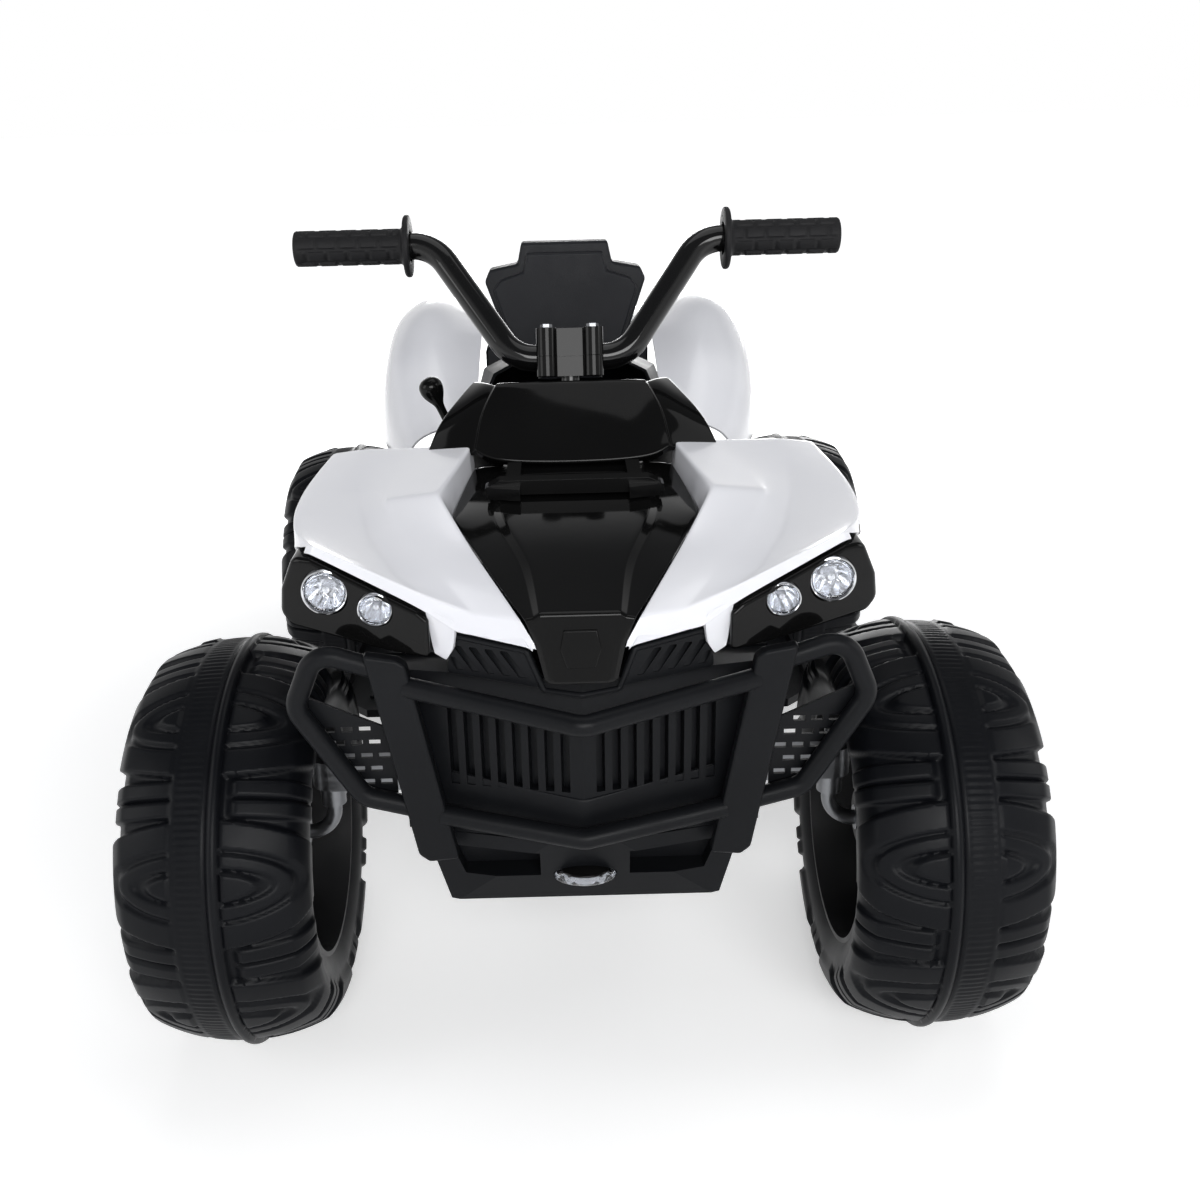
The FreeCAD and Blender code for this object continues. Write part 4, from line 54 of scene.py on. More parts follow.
plastics = {
    "white_shell": {"tone": (0.84, 0.845, 0.88), "worn": (0.8, 0.806, 0.85), "sheen": (0.16, 0.24),
                    "specular": 0.4, "ripple": 0.03, "coat": 0.25},
    "black_gloss": {"tone": (0.0028, 0.0028, 0.0029), "worn": (0.0046, 0.0046, 0.0046), "sheen": (0.05, 0.1),
                    "specular": 0.1, "ripple": 0.04, "coat": 0.06},
    "black_matte": {"tone": (0.0046, 0.005, 0.006), "worn": (0.007, 0.0075, 0.0088), "sheen": (0.34, 0.46),
                    "specular": 0.1, "grain": 0.22},
    "seat_shell": {"tone": (0.0085, 0.0092, 0.0115), "worn": (0.012, 0.0128, 0.0155), "sheen": (0.38, 0.5),
                   "specular": 0.16, "grain": 0.3, "grainScale": 900},
    "tyre_shell": {"tone": (0.0036, 0.004, 0.0052), "worn": (0.0056, 0.0061, 0.0076), "sheen": (0.34, 0.44),
                   "specular": 0.09, "grain": 0.14, "grainScale": 1800},
    "wheel_disc": {"tone": (0.01, 0.01, 0.011), "worn": (0.014, 0.014, 0.015), "sheen": (0.4, 0.52),
                   "specular": 0.3, "grain": 0.2},
    "hub_cap": {"tone": (0.006, 0.006, 0.0065), "worn": (0.009, 0.009, 0.0095), "sheen": (0.16, 0.26),
                "specular": 0.2, "ripple": 0.03, "coat": 0.15},
    "black_tube": {"tone": (0.003, 0.003, 0.0032), "worn": (0.0048, 0.0048, 0.005), "sheen": (0.07, 0.12),
                   "specular": 0.2, "ripple": 0.02, "coat": 0.2},
    "grip_rubber": {"tone": (0.008, 0.008, 0.0088), "worn": (0.012, 0.012, 0.013), "sheen": (0.5, 0.62),
                    "specular": 0.16, "grain": 0.3, "grainScale": 1100},
    "gear_case": {"tone": (0.05, 0.05, 0.054), "worn": (0.07, 0.07, 0.075), "sheen": (0.45, 0.6),
                  "specular": 0.4, "grain": 0.3},
    "battery_case": {"tone": (0.09, 0.09, 0.1), "worn": (0.12, 0.12, 0.13), "sheen": (0.4, 0.55),
                     "specular": 0.4, "grain": 0.2},
    "red_lens": {"tone": (0.3, 0.004, 0.004), "worn": (0.38, 0.007, 0.006), "sheen": (0.14, 0.22),
                 "specular": 0.25, "ripple": 0.05, "coat": 0.1},
}
metals = {
    "zinc_steel": {"tone": (0.2, 0.205, 0.215), "sheen": (0.3, 0.44), "streak": 60},
    "lamp_bowl": {"tone": (0.52, 0.53, 0.55), "sheen": (0.05, 0.12), "streak": 20},
}
lensGlass = {"tone": (0.97, 0.98, 1.0), "sheen": 0.03, "index": 1.46}
plasticTexture = {"wear": (9, 4), "gloss": (34, 6), "index": 1.5, "coatRoughness": 0.05, "detail": 3,
                  "grainScale": 1400, "grainDepth": 0.0004, "rippleScale": 16, "rippleDepth": 0.004}
brushStretch = (1, 6, 6)
brushDetail = 5
noiseSpan = (0.3, 0.7)


def newFinish(name):
    finish = bpy.data.materials.new(name)
    finish.use_nodes = True
    tree = finish.node_tree
    return finish, tree, tree.nodes["Principled BSDF"]


def noiseNode(tree, scale, detail, coordinates):
    noise = tree.nodes.new("ShaderNodeTexNoise")
    noise.inputs["Scale"].default_value = scale
    noise.inputs["Detail"].default_value = detail
    tree.links.new(coordinates, noise.inputs["Vector"])
    return noise.outputs["Fac"]


def spread(tree, source, low, high):
    ranger = tree.nodes.new("ShaderNodeMapRange")
    ranger.inputs["From Min"].default_value, ranger.inputs["From Max"].default_value = noiseSpan
    ranger.inputs["To Min"].default_value, ranger.inputs["To Max"].default_value = low, high
    tree.links.new(source, ranger.inputs["Value"])
    return ranger.outputs["Result"]


# Plastic has an uneven sheen, a little wear in its colour, and either grain or moulding ripple
def mouldedPlastic(name, look):
    finish, tree, shader = newFinish(name)
    place = tree.nodes.new("ShaderNodeTexCoord").outputs["Object"]
    mixed = tree.nodes.new("ShaderNodeMix")
    mixed.data_type = "RGBA"
    mixed.inputs["A"].default_value = (*look["tone"], 1)
    mixed.inputs["B"].default_value = (*look["worn"], 1)
    wear = noiseNode(tree, *plasticTexture["wear"], place)
    tree.links.new(spread(tree, wear, 0, 1), mixed.inputs["Factor"])
    tree.links.new(mixed.outputs["Result"], shader.inputs["Base Color"])
    gloss = noiseNode(tree, *plasticTexture["gloss"], place)
    tree.links.new(spread(tree, gloss, *look["sheen"]), shader.inputs["Roughness"])
    shader.inputs["IOR"].default_value = plasticTexture["index"]
    shader.inputs["Specular IOR Level"].default_value = look["specular"]
    shader.inputs["Coat Weight"].default_value = look.get("coat", 0)
    shader.inputs["Coat Roughness"].default_value = plasticTexture["coatRoughness"]
    grain = look.get("grain", 0)
    bump = tree.nodes.new("ShaderNodeBump")
    bump.inputs["Strength"].default_value = grain or look["ripple"]
    bump.inputs["Distance"].default_value = plasticTexture["grainDepth" if grain else "rippleDepth"]
    scale = look.get("grainScale", plasticTexture["grainScale"]) if grain else plasticTexture["rippleScale"]
    fine = noiseNode(tree, scale, plasticTexture["detail"], place)
    tree.links.new(fine, bump.inputs["Height"])
    tree.links.new(bump.outputs["Normal"], shader.inputs["Normal"])
    return finish


def metalFinish(name, look):
    finish, tree, shader = newFinish(name)
    place = tree.nodes.new("ShaderNodeTexCoord").outputs["Object"]
    stretch = tree.nodes.new("ShaderNodeMapping")
    stretch.inputs["Scale"].default_value = brushStretch
    tree.links.new(place, stretch.inputs["Vector"])
    brush = noiseNode(tree, look["streak"], brushDetail, stretch.outputs["Vector"])
    tree.links.new(spread(tree, brush, *look["sheen"]), shader.inputs["Roughness"])
    shader.inputs["Base Color"].default_value = (*look["tone"], 1)
    shader.inputs["Metallic"].default_value = 1
    return finish


def clearFinish(name, look):
    finish, tree, shader = newFinish(name)
    shader.inputs["Base Color"].default_value = (*look["tone"], 1)
    shader.inputs["Roughness"].default_value = look["sheen"]
    shader.inputs["Transmission Weight"].default_value = 1
    shader.inputs["IOR"].default_value = look["index"]
    return finish


finishes = {slot: mouldedPlastic(slot + ".finish", look) for slot, look in plastics.items()}
finishes.update({slot: metalFinish(slot + ".finish", look) for slot, look in metals.items()})
finishes["clear_lens"] = clearFinish("clear_lens.finish", lensGlass)
slotOf = {part["node"]: part["material_slot"] for part in frame["record"]["subparts"]}
bodyOf = {name: body for body, names in frame["record"]["behaviour"]["bodies"].items() for name in names}
print("stage: finishes made")


# Ties a piece to the CAD node that it stands for
def finishPiece(piece, node, slot=None):
    slot = slot or slotOf[node]
    piece.data.materials.clear()
    piece.data.materials.append(finishes[slot])
    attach(piece, bodyOf[node])
    return piece


def smoothShade(piece, angle):
    piece.data.polygons.foreach_set("use_smooth", [True] * len(piece.data.polygons))
    piece.data.set_sharp_from_angle(angle=math.radians(angle))
    piece.data.update()


def placed(name, data):
    thing = bpy.data.objects.new(name, data)
    bpy.context.scene.collection.objects.link(thing)
    return thing


def meshPiece(name, vertices, faces, smoothAngle=40):
    data = bpy.data.meshes.new(name)
    data.from_pydata(vertices, [], faces)
    data.validate()
    piece = placed(name, data)
    smoothShade(piece, smoothAngle)
    return piece


def ringFaces(rings, sides):
    faces = []
    for ring in range(rings - 1):
        for k in range(sides):
            following = (k + 1) % sides
            faces.append((ring * sides + k, ring * sides + following,
                          (ring + 1) * sides + following, (ring + 1) * sides + k))
    return faces


# Edge rounding: angles in degrees, and each piece's crease and rim widths in metres

roundingRule = {"weld": 2e-5, "flat": 0.7, "crease": 8, "thin": 0.0046, "segments": 3,
                "smooth": 40, "broad": 100}
edgeRounding = {
    "tank_cover": (0.008, 0.001), "nose_plate": (0.0006, 0.0006), "front_rack": (0.0016, 0.0014),
    "clamp_base": (0.0012, 0.0005), "clamp_cap": (0.0012, 0.0005), "chassis_tub": (0.006, 0.0015),
    "skid_panel": (0.0015, 0.001), "seat": (0.007, 0.002), "accelerator_pedal": (0.0012, 0.0006),
    "tail_lamps": (0.002, 0.002), "battery": (0.002, 0.001), "control_box": (0.002, 0.001),
}


# A copy of a CAD node with rounded edges: broad on creases, slight on thin rims
def roundedCopy(node, creaseWidth, rimWidth):
    source = nodes[node]
    shape = bmesh.new()
    shape.from_mesh(source.data)
    shape.transform(source.matrix_world)
    bmesh.ops.remove_doubles(shape, verts=shape.verts, dist=roundingRule["weld"])
    flat = math.radians(roundingRule["flat"])
    bmesh.ops.dissolve_limit(shape, angle_limit=flat, verts=shape.verts, edges=shape.edges)
    bmesh.ops.recalc_face_normals(shape, faces=shape.faces)
    weight = shape.edges.layers.float.new("bevel_weight_edge")
    for edge in shape.edges:
        if len(edge.link_faces) != 2 or edge.calc_face_angle(0) < math.radians(roundingRule["crease"]):
            continue
        shortest = min(side.calc_length() for face in edge.link_faces for side in face.edges)
        narrow = shortest < roundingRule["thin"]
        edge[weight] = rimWidth / creaseWidth if narrow else 1.0
    data = bpy.data.meshes.new(node + ".rounded")
    shape.to_mesh(data)
    shape.free()
    piece = placed(node + ".rounded", data)
    rounding = piece.modifiers.new("rounding", "BEVEL")
    rounding.limit_method = "WEIGHT"
    rounding.width = creaseWidth
    rounding.segments = roundingRule["segments"]
    rounding.use_clamp_overlap = True
    rounding.miter_outer = "MITER_ARC"
    smoothShade(piece, roundingRule["smooth"])
    broad = piece.modifiers.new("broad", "WEIGHTED_NORMAL")
    broad.weight = roundingRule["broad"]
    broad.keep_sharp = True
    finishPiece(piece, node)
    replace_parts(piece, node)


for node, (crease, rim) in edgeRounding.items():
    roundedCopy(node, crease, rim)
print("stage: edges rounded")


# Bodywork panels: rows of (x, y, z) in millimetres, then how crisp each column, row and point is

hoodPanel = {
    "rows": [[(0, -215, 452), (49.5, -215, 452), (56, -215, 449.6), (80, -215, 447)],
             [(0, -275, 450), (52.5, -275, 450), (59.4, -275, 447.4), (85, -275, 445)],
             [(0, -331, 447), (55.8, -331, 447), (62, -331, 444.2), (90, -331, 442)],
             [(0, -378, 442), (42, -378, 442), (48.4, -378, 438.6), (72.4, -378, 436.4)],
             [(0, -414, 436.2), (31, -414, 436.2), (37.4, -414, 433), (59.4, -414, 431.4)],
             [(0, -454, 428.2), (27, -454, 428.2), (32, -454, 425), (43.2, -454, 424)],
             [(0, -475.5, 424.3), (25.2, -475.5, 424.3), (29, -475.5, 421.8), (34.6, -475.5, 420.6)],
             [(0, -479.4, 402), (20.8, -479.4, 402), (24.4, -479, 402), (28, -478, 403)],
             [(0, -483.6, 379.6), (17, -483.6, 379.6), (20.4, -483, 380), (23, -481.6, 381)]],
    "columns": {1: 0.6, 2: 0.55}, "rowEdges": {6: 0.56}, "points": {(2, 1): 0.2, (4, 1): 0.2},
}
fenderPanel = {
    "rows": [[(78.8, -213, 441), (80, -213, 467), (118, -213, 464.6), (166, -213, 464.6),
              (193, -213, 462), (197, -213, 407)],
             [(85.2, -275, 439), (89, -275, 463.6), (129, -275, 460.6), (163, -275, 458.6),
              (198.4, -275, 460.6), (203, -275, 409)],
             [(90.8, -331, 436), (98.4, -331, 461.6), (137, -331, 457.8), (156.4, -331, 451.6),
              (201, -331, 458.6), (203, -331, 416)],
             [(68, -391, 431), (71.5, -391, 438.4), (112, -391, 443), (140, -391, 444), (193, -391, 457),
              (192, -391, 444)],
             [(52.6, -431, 424), (55.6, -431, 430.6), (88, -431, 432.6), (119, -431, 437),
              (179.6, -414, 456), (183, -412, 450.6)],
             [(36.4, -471, 413), (37.8, -471, 419.6), (66, -464.4, 420.6), (99.5, -452.5, 430.6),
              (172, -423.2, 455.2), (178, -419, 453.6)],
             [(27.6, -478.8, 401), (28.6, -479, 405.6), (79, -462.4, 407.6), (100, -453.8, 420.6),
              (174.6, -424.5, 450), (180, -419.2, 449)]],
    "columns": {1: 0.75, 2: 0.72, 3: 0.66, 4: 0.56},
    "rowEdges": {(2, 1): 0.75, 5: 0.66, (4, 3): 0.5, (4, 2): 0.3},
    "points": {(2, 1): 0.85, (2, 2): 0.8, (2, 3): 0.3, (3, 1): 0.4},
}
fenderTab = {
    "rows": [[(80.5, -461.6, 416.6), (99.6, -453.4, 423)], [(80, -460.6, 406), (98, -452.6, 414)],
             [(82, -456.6, 394), (96.5, -450.8, 398)], [(87.2, -452.6, 384.4), (95, -450.4, 388.6)]],
    "columns": {}, "rowEdges": {}, "points": {},
}
cowlPanel = {
    "rows": [[(0, -229, 450), (42, -228.5, 451), (66, -227, 453.5), (75, -225, 459), (77, -224, 459.5),
              (98, -220.5, 459.5), (113, -219, 459.5), (113, -217, 457)],
             [(0, -237.6, 455), (42, -237, 456), (66, -234.5, 458.6), (76.8, -230, 465.4),
              (79, -227.6, 463.4), (100, -224.4, 463), (115.4, -222.4, 463.4), (114.6, -218, 458)],
             [(0, -224, 474), (40, -223.6, 474), (63, -222.6, 474.6), (74.8, -219, 475.8),
              (76.8, -216.6, 473.6), (96, -212, 474), (111.4, -208.6, 473.4), (114, -200, 452)],
             [(0, -209, 492), (37, -208.8, 492), (58, -208, 492), (71.4, -205.4, 492),
              (73.4, -203, 489.6), (89, -196, 489.4), (104.4, -190, 485), (113, -180, 448)],
             [(0, -191, 511), (34, -191, 511), (51, -190.6, 510.8), (59.6, -189.4, 510),
              (61.6, -186.6, 507.6), (71, -171, 507.4), (81.4, -154, 504.6), (111, -148, 444)],
             [(0, -156, 503.6), (34, -156, 503.6), (51, -156, 503), (59, -155, 502), (61, -153, 500.6),
              (70, -144, 500), (79, -130, 496), (108, -122, 440)],
             [(0, -108, 490), (34, -108, 490), (50, -108, 489.4), (58, -108, 488), (60, -108, 487.4),
              (70, -108, 484.6), (80, -108, 480), (104, -108, 438)]],
    "columns": {3: 0.62, 4: 0.55, 6: 0.6}, "rowEdges": {1: 0.42, 4: 0.5},
    "points": {(1, 6): 0.6, (4, 6): 0.4, (4, 3): 0.4},
}
panelWall = {"thickness": 2.6, "rimCrease": 0.55, "smoothing": 4}


# A smoothed sheet over the rows of a panel, with its crisp edges kept
def cagePanel(name, node, panel, wholeWidth=False, side=1, replaces=True, corner=0.66):
    rows = [[(side * x, y, z) for x, y, z in row] for row in panel["rows"]]
    columns = list(range(len(rows[0])))
    if wholeWidth:
        rows = [[(-x, y, z) for x, y, z in reversed(row[1:])] + row for row in rows]
        columns = columns[:0:-1] + columns
    width = len(columns)
    vertices = [Vector(point) / 1000 for row in rows for point in row]
    faces = [(r * width + c, r * width + c + 1, (r + 1) * width + c + 1, (r + 1) * width + c)
             for r in range(len(rows) - 1) for c in range(width - 1)]
    piece = meshPiece(name, vertices, faces, 180)
    facing = sum((face.normal.z - face.normal.y) * face.area for face in piece.data.polygons)
    if facing < 0:
        piece.data.flip_normals()
    crisp = piece.data.attributes.new("crease_edge", "FLOAT", "EDGE")
    for edge in piece.data.edges:
        rowA = edge.vertices[0] // width
        columnA, columnB = (index % width for index in edge.vertices)
        if columnA == columnB:
            value = panel["columns"].get(columns[columnA], 0)
        else:
            inner = min(columns[columnA], columns[columnB])
            value = panel["rowEdges"].get((rowA, inner), panel["rowEdges"].get(rowA, 0))
        crisp.data[edge.index].value = value
    pointed = piece.data.attributes.new("crease_vert", "FLOAT", "POINT")
    for index in range(len(vertices)):
        row, column = divmod(index, width)
        onRim = row in (0, len(rows) - 1) or column in (0, width - 1)
        pointed.data[index].value = panel["points"].get((row, columns[column]), corner if onRim else 0)
    wall = piece.modifiers.new("wall", "SOLIDIFY")
    wall.thickness = panelWall["thickness"] / 1000
    wall.offset = -1
    wall.use_even_offset = True
    wall.edge_crease_outer = wall.edge_crease_inner = panelWall["rimCrease"]
    smoothing = piece.modifiers.new("smoothing", "SUBSURF")
    smoothing.levels = smoothing.render_levels = panelWall["smoothing"]
    finishPiece(piece, node)
    if replaces:
        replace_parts(piece, node)


cagePanel("hood.shell", "hood", hoodPanel, wholeWidth=True)
cagePanel("cowl.shell", "dash_cowl", cowlPanel, wholeWidth=True)
for side, ending in ((1, "left"), (-1, "right")):
    cagePanel("fender.shell." + ending, "front_fender_" + ending, fenderPanel, side=side)
    cagePanel("fender.tab." + ending, "front_fender_" + ending, fenderTab, side=side, replaces=False)
print("stage: bodywork panels made")


# Tyres: lengths in millimetres, places as (along the tread, across from the middle)

tyreShape = {"radius": 165, "halfWidth": 71, "units": 8, "columnsPerUnit": 84, "phase": 27, "crown": 157,
             "crownMid": (30, 153.8), "shoulder": (58, 144), "sidewall": (68, 122), "bead": (62, 100),
             "crownSteps": 38, "sideSteps": 18, "pitchRadius": 160}
treadUnit = {"arch": (46, 98), "archHeight": 5.0, "bullet": (26, 66), "core": (13, 46), "coreHeight": 1.2,
             "coreEdge": 2, "coreGroove": 0.6, "groove": 2.6, "grooveDepth": 2.6, "grooveSlope": (1.2, 0.6),
             "bar": 56.0, "barHalf": 4.2, "barHeight": 3.8, "barLean": 0.02, "barStart": (16, 24),
             "edge": 2.8, "end": (80, 90)}
treadBand = {"from": -22, "to": 13, "height": 4.4, "ridge": 8.5, "ridgeHalf": 4, "ridgeHeight": 3.6,
             "ribPitch": 5.2, "ribHeight": 0.7, "ribFrom": -19, "ribTo": 0, "ribEdge": 2, "edge": (1.6, 0.4),
             "ditch": 1.6, "ditchPlace": 1.25, "ditchHalf": 0.3}


def stepUp(low, high, value):
    share = min(max((value - low) / (high - low), 0), 1)
    return share * share * (3 - 2 * share)


# Points on the circle arc through three points
def arcThrough(start, middle, end, count):
    (ax, ay), (bx, by), (cx, cy) = start, middle, end
    scale = 2 * (ax * (by - cy) + bx * (cy - ay) + cx * (ay - by))
    aa, bb, cc = ax * ax + ay * ay, bx * bx + by * by, cx * cx + cy * cy
    ux = (aa * (by - cy) + bb * (cy - ay) + cc * (ay - by)) / scale
    uy = (aa * (cx - bx) + bb * (ax - cx) + cc * (bx - ax)) / scale
    radius = math.hypot(ax - ux, ay - uy)
    first = math.atan2(ay - uy, ax - ux)
    last = math.atan2(cy - uy, cx - ux)
    turn = (last - first + math.pi) % (2 * math.pi) - math.pi
    angles = [first + turn * k / count for k in range(count + 1)]
    return [(ux + radius * math.cos(angle), uy + radius * math.sin(angle)) for angle in angles]


def tyreSection():
    shoulder = tyreShape["shoulder"]
    crown = arcThrough((0, tyreShape["crown"]), tyreShape["crownMid"], shoulder, tyreShape["crownSteps"])
    side = arcThrough(shoulder, tyreShape["sidewall"], tyreShape["bead"], tyreShape["sideSteps"])
    return crown + side[1:]


# How far a place lies outside an ellipse, in millimetres, about
def outsideBy(along, run, oval):
    share = math.hypot(along / oval[0], run / oval[1])
    return (share - 1) * min(oval)


def grooveRound(distance):
    half = treadUnit["groove"] / 2
    outer, inner = treadUnit["grooveSlope"]
    down = stepUp(-half - outer, -half + inner, distance)
    up = stepUp(half - inner, half + outer, distance)
    return treadUnit["grooveDepth"] * down * (1 - up)


def treadHeight(along, run):
    along, run = abs(along), abs(run)
    edge = treadUnit["edge"]
    arch = outsideBy(along, run, treadUnit["arch"])
    height = treadUnit["archHeight"] * (1 - stepUp(0, edge, arch))
    core = outsideBy(along, run, treadUnit["core"])
    height += treadUnit["coreHeight"] * (1 - stepUp(-treadUnit["coreEdge"], 0, core))
    bullet = outsideBy(along, run, treadUnit["bullet"])
    height -= grooveRound(bullet) + grooveRound(core + treadUnit["coreGroove"])
    lean = treadUnit["barLean"] * run
    bar = abs(along - treadUnit["bar"] + lean) - treadUnit["barHalf"] - lean
    barTop = treadUnit["barHeight"] * (1 - stepUp(0, edge, bar))
    height = max(height, barTop * stepUp(*treadUnit["barStart"], run))
    return max(height, 0) * (1 - stepUp(*treadUnit["end"], run))


def bandHeight(around, run):
    height = treadBand["height"]
    rib = 0.5 + 0.5 * math.cos(2 * math.pi * around / treadBand["ribPitch"])
    ribFrom, ribTo, ribEdge = treadBand["ribFrom"], treadBand["ribTo"], treadBand["ribEdge"]
    inside = stepUp(ribFrom, ribFrom + ribEdge, run) * (1 - stepUp(ribTo - ribEdge, ribTo, run))
    height -= treadBand["ribHeight"] * rib * inside
    across = abs(run - treadBand["ridge"]) / treadBand["ridgeHalf"]
    if across < 1:
        height += treadBand["ridgeHeight"] * math.sqrt(1 - across * across)
    ditch = max(0, 1 - abs(across - treadBand["ditchPlace"]) / treadBand["ditchHalf"])
    return height - treadBand["ditch"] * ditch


def tyreMesh(inboard):
    section = tyreSection()
    runs = [0.0]
    for (ax, ay), (bx, by) in zip(section, section[1:]):
        runs.append(runs[-1] + math.hypot(bx - ax, by - ay))
    rows = [(-x, r, -u) for (x, r), u in zip(reversed(section[1:]), reversed(runs[1:]))]
    rows += [(x, r, u) for (x, r), u in zip(section, runs)]
    units, perUnit = tyreShape["units"], tyreShape["columnsPerUnit"]
    count = units * perUnit
    pitch = 2 * math.pi * tyreShape["pitchRadius"] / units
    bandFrom, bandTo, (outer, inner) = treadBand["from"], treadBand["to"], treadBand["edge"]
    vertices = []
    for index, (x, r, run) in enumerate(rows):
        before = rows[max(index - 1, 0)]
        after = rows[min(index + 1, len(rows) - 1)]
        slope = Vector((after[0] - before[0], after[1] - before[1])).normalized()
        past = stepUp(bandTo - inner, bandTo + outer, run)
        inBand = stepUp(bandFrom - outer, bandFrom + inner, run) * (1 - past)
        heights = []
        for column in range(perUnit):
            along = ((column / perUnit + 0.5) % 1 - 0.5) * pitch
            height = treadHeight(along, run) * (1 - inBand)
            if inBand:
                height += bandHeight(along, run) * inBand
            heights.append(height)
        for column in range(count):
            angle = 2 * math.pi * column / count + math.radians(tyreShape["phase"])
            height = heights[column % perUnit]
            across = x - slope.y * height
            reach = min(r + slope.x * height, tyreShape["radius"])
            across = max(min(across, tyreShape["halfWidth"]), -tyreShape["halfWidth"])
            point = (inboard * across, -reach * math.sin(angle), reach * math.cos(angle))
            vertices.append(Vector(point) / 1000)
    return vertices, ringFaces(len(rows), count)


for ending, inboard in (("left", -1), ("right", 1)):
    moulding = meshPiece("tread.front_" + ending, *tyreMesh(inboard), smoothAngle=60)
    if inboard < 0:
        moulding.data.flip_normals()
    for corner in ("front_" + ending, "rear_" + ending):
        tyre = moulding
        if corner.startswith("rear"):
            tyre = placed("tread." + corner, moulding.data)
        low, high = (Vector(point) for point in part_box("tyre_" + corner))
        tyre.matrix_world = Matrix.Translation((low + high) / 2)
        finishPiece(tyre, "tyre_" + corner)
        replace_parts(tyre, "tyre_" + corner)
print("stage: tyres moulded")


# Bull bar, in metres

bullBar = {"tube": 0.007, "bend": 0.016, "upper": [(0.1144, -0.455, 0.367), (0, -0.5025, 0.359)],
           "lower": [(0.0961, -0.455, 0.271), (0, -0.474, 0.26)],
           "hoop": [(0.1251, -0.4505, 0.376), (0.173, -0.4505, 0.392), (0.19, -0.4505, 0.352),
                    (0.149, -0.4505, 0.284), (0.1053, -0.4505, 0.272)],
           "strapTop": (0.127, 0.388), "strapBottom": (0.1, 0.236), "strapHalf": 0.0138,
           "strapFront": -0.4605, "strapBack": -0.4492, "strapRounding": 0.0026,
           "boss": [(0.106, -0.4555, 0.272), (0.106, -0.4404, 0.272)], "bossRadius": 0.007, "bossBend": 0.001}


# Points of a path whose corners are arcs of one radius
def roundedPath(points, bend, steps=10):
    points = [Vector(point) for point in points]
    path = [points[0]]
    for before, corner, after in zip(points, points[1:], points[2:]):
        inward = (before - corner).normalized()
        outward = (after - corner).normalized()
        half = inward.angle(outward) / 2
        most = min((before - corner).length, (after - corner).length) * 0.49
        reach = min(bend / math.tan(half), most)
        radius = reach * math.tan(half)
        centre = corner + (inward + outward).normalized() * (radius / math.sin(half))
        first = corner + inward * reach - centre
        last = corner + outward * reach - centre
        axis, sweep = first.cross(last), first.angle(last)
        for step in range(steps + 1):
            path.append(centre + Quaternion(axis, sweep * step / steps) @ first)
    path.append(points[-1])
    return path


def tubeAlong(name, points, radius, bend, sides=24):
    path = roundedPath(points, bend)
    vertices = []
    side = (path[1] - path[0]).orthogonal().normalized()
    for index, point in enumerate(path):
        ahead = (path[min(index + 1, len(path) - 1)] - path[max(index - 1, 0)]).normalized()
        side = (side - ahead * side.dot(ahead)).normalized()
        other = ahead.cross(side)
        for k in range(sides):
            angle = 2 * math.pi * k / sides
            vertices.append(point + (side * math.cos(angle) + other * math.sin(angle)) * radius)
    faces = ringFaces(len(path), sides)
    faces.append(tuple(range(sides))[::-1])
    faces.append(tuple((len(path) - 1) * sides + k for k in range(sides)))
    return meshPiece(name, vertices, faces, smoothAngle=50)


# A plate between two closed outlines of equal length, with rounded edges
def platePiece(name, front, back, rounding):
    count = len(front)
    faces = [tuple(range(count))[::-1], tuple(range(count, 2 * count))]
    faces += [(k, (k + 1) % count, count + (k + 1) % count, count + k) for k in range(count)]
    piece = meshPiece(name, list(front) + list(back), faces)
    shape = bmesh.new()
    shape.from_mesh(piece.data)
    bmesh.ops.recalc_face_normals(shape, faces=shape.faces)
    shape.to_mesh(piece.data)
    shape.free()
    edges = piece.modifiers.new("rounding", "BEVEL")
    edges.width = rounding
    edges.segments = 3
    edges.limit_method = "ANGLE"
    edges.angle_limit = math.radians(25)
    edges.harden_normals = True
    smoothShade(piece, 40)
    return piece


def mirroredPath(points):
    return [(-x, y, z) for x, y, z in points] + [(x, y, z) for x, y, z in reversed(points) if x]


def makeBullBar():
    tube, bend, half = bullBar["tube"], bullBar["bend"], bullBar["strapHalf"]
    pieces = [tubeAlong("bar." + name, mirroredPath(bullBar[name]), tube, bend)
              for name in ("upper", "lower")]
    (topX, topZ), (bottomX, bottomZ) = bullBar["strapTop"], bullBar["strapBottom"]
    for name, side in (("left", 1), ("right", -1)):
        hoop, boss = ([(side * x, y, z) for x, y, z in bullBar[path]] for path in ("hoop", "boss"))
        pieces.append(tubeAlong("bar.hoop." + name, hoop, tube, bend))
        outline = [(topX - half, topZ - 0.004), (topX - half * 0.6, topZ), (topX + half, topZ + 0.004),
                   (bottomX + half, bottomZ + 0.006), (bottomX + half * 0.5, bottomZ),
                   (bottomX - half, bottomZ + 0.002)]
        front = [(side * x, bullBar["strapFront"], z) for x, z in outline]
        back = [(side * x, bullBar["strapBack"], z) for x, z in outline]
        pieces.append(platePiece("bar.strap." + name, front, back, bullBar["strapRounding"]))
        pieces.append(tubeAlong("bar.boss." + name, boss, bullBar["bossRadius"], bullBar["bossBend"]))
    for piece in pieces:
        finishPiece(piece, "front_bumper")
    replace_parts(pieces[0], "front_bumper")


makeBullBar()
print("stage: bull bar bent")


# Grille lip: the smooth lower face whose top edge drops to a point in the middle

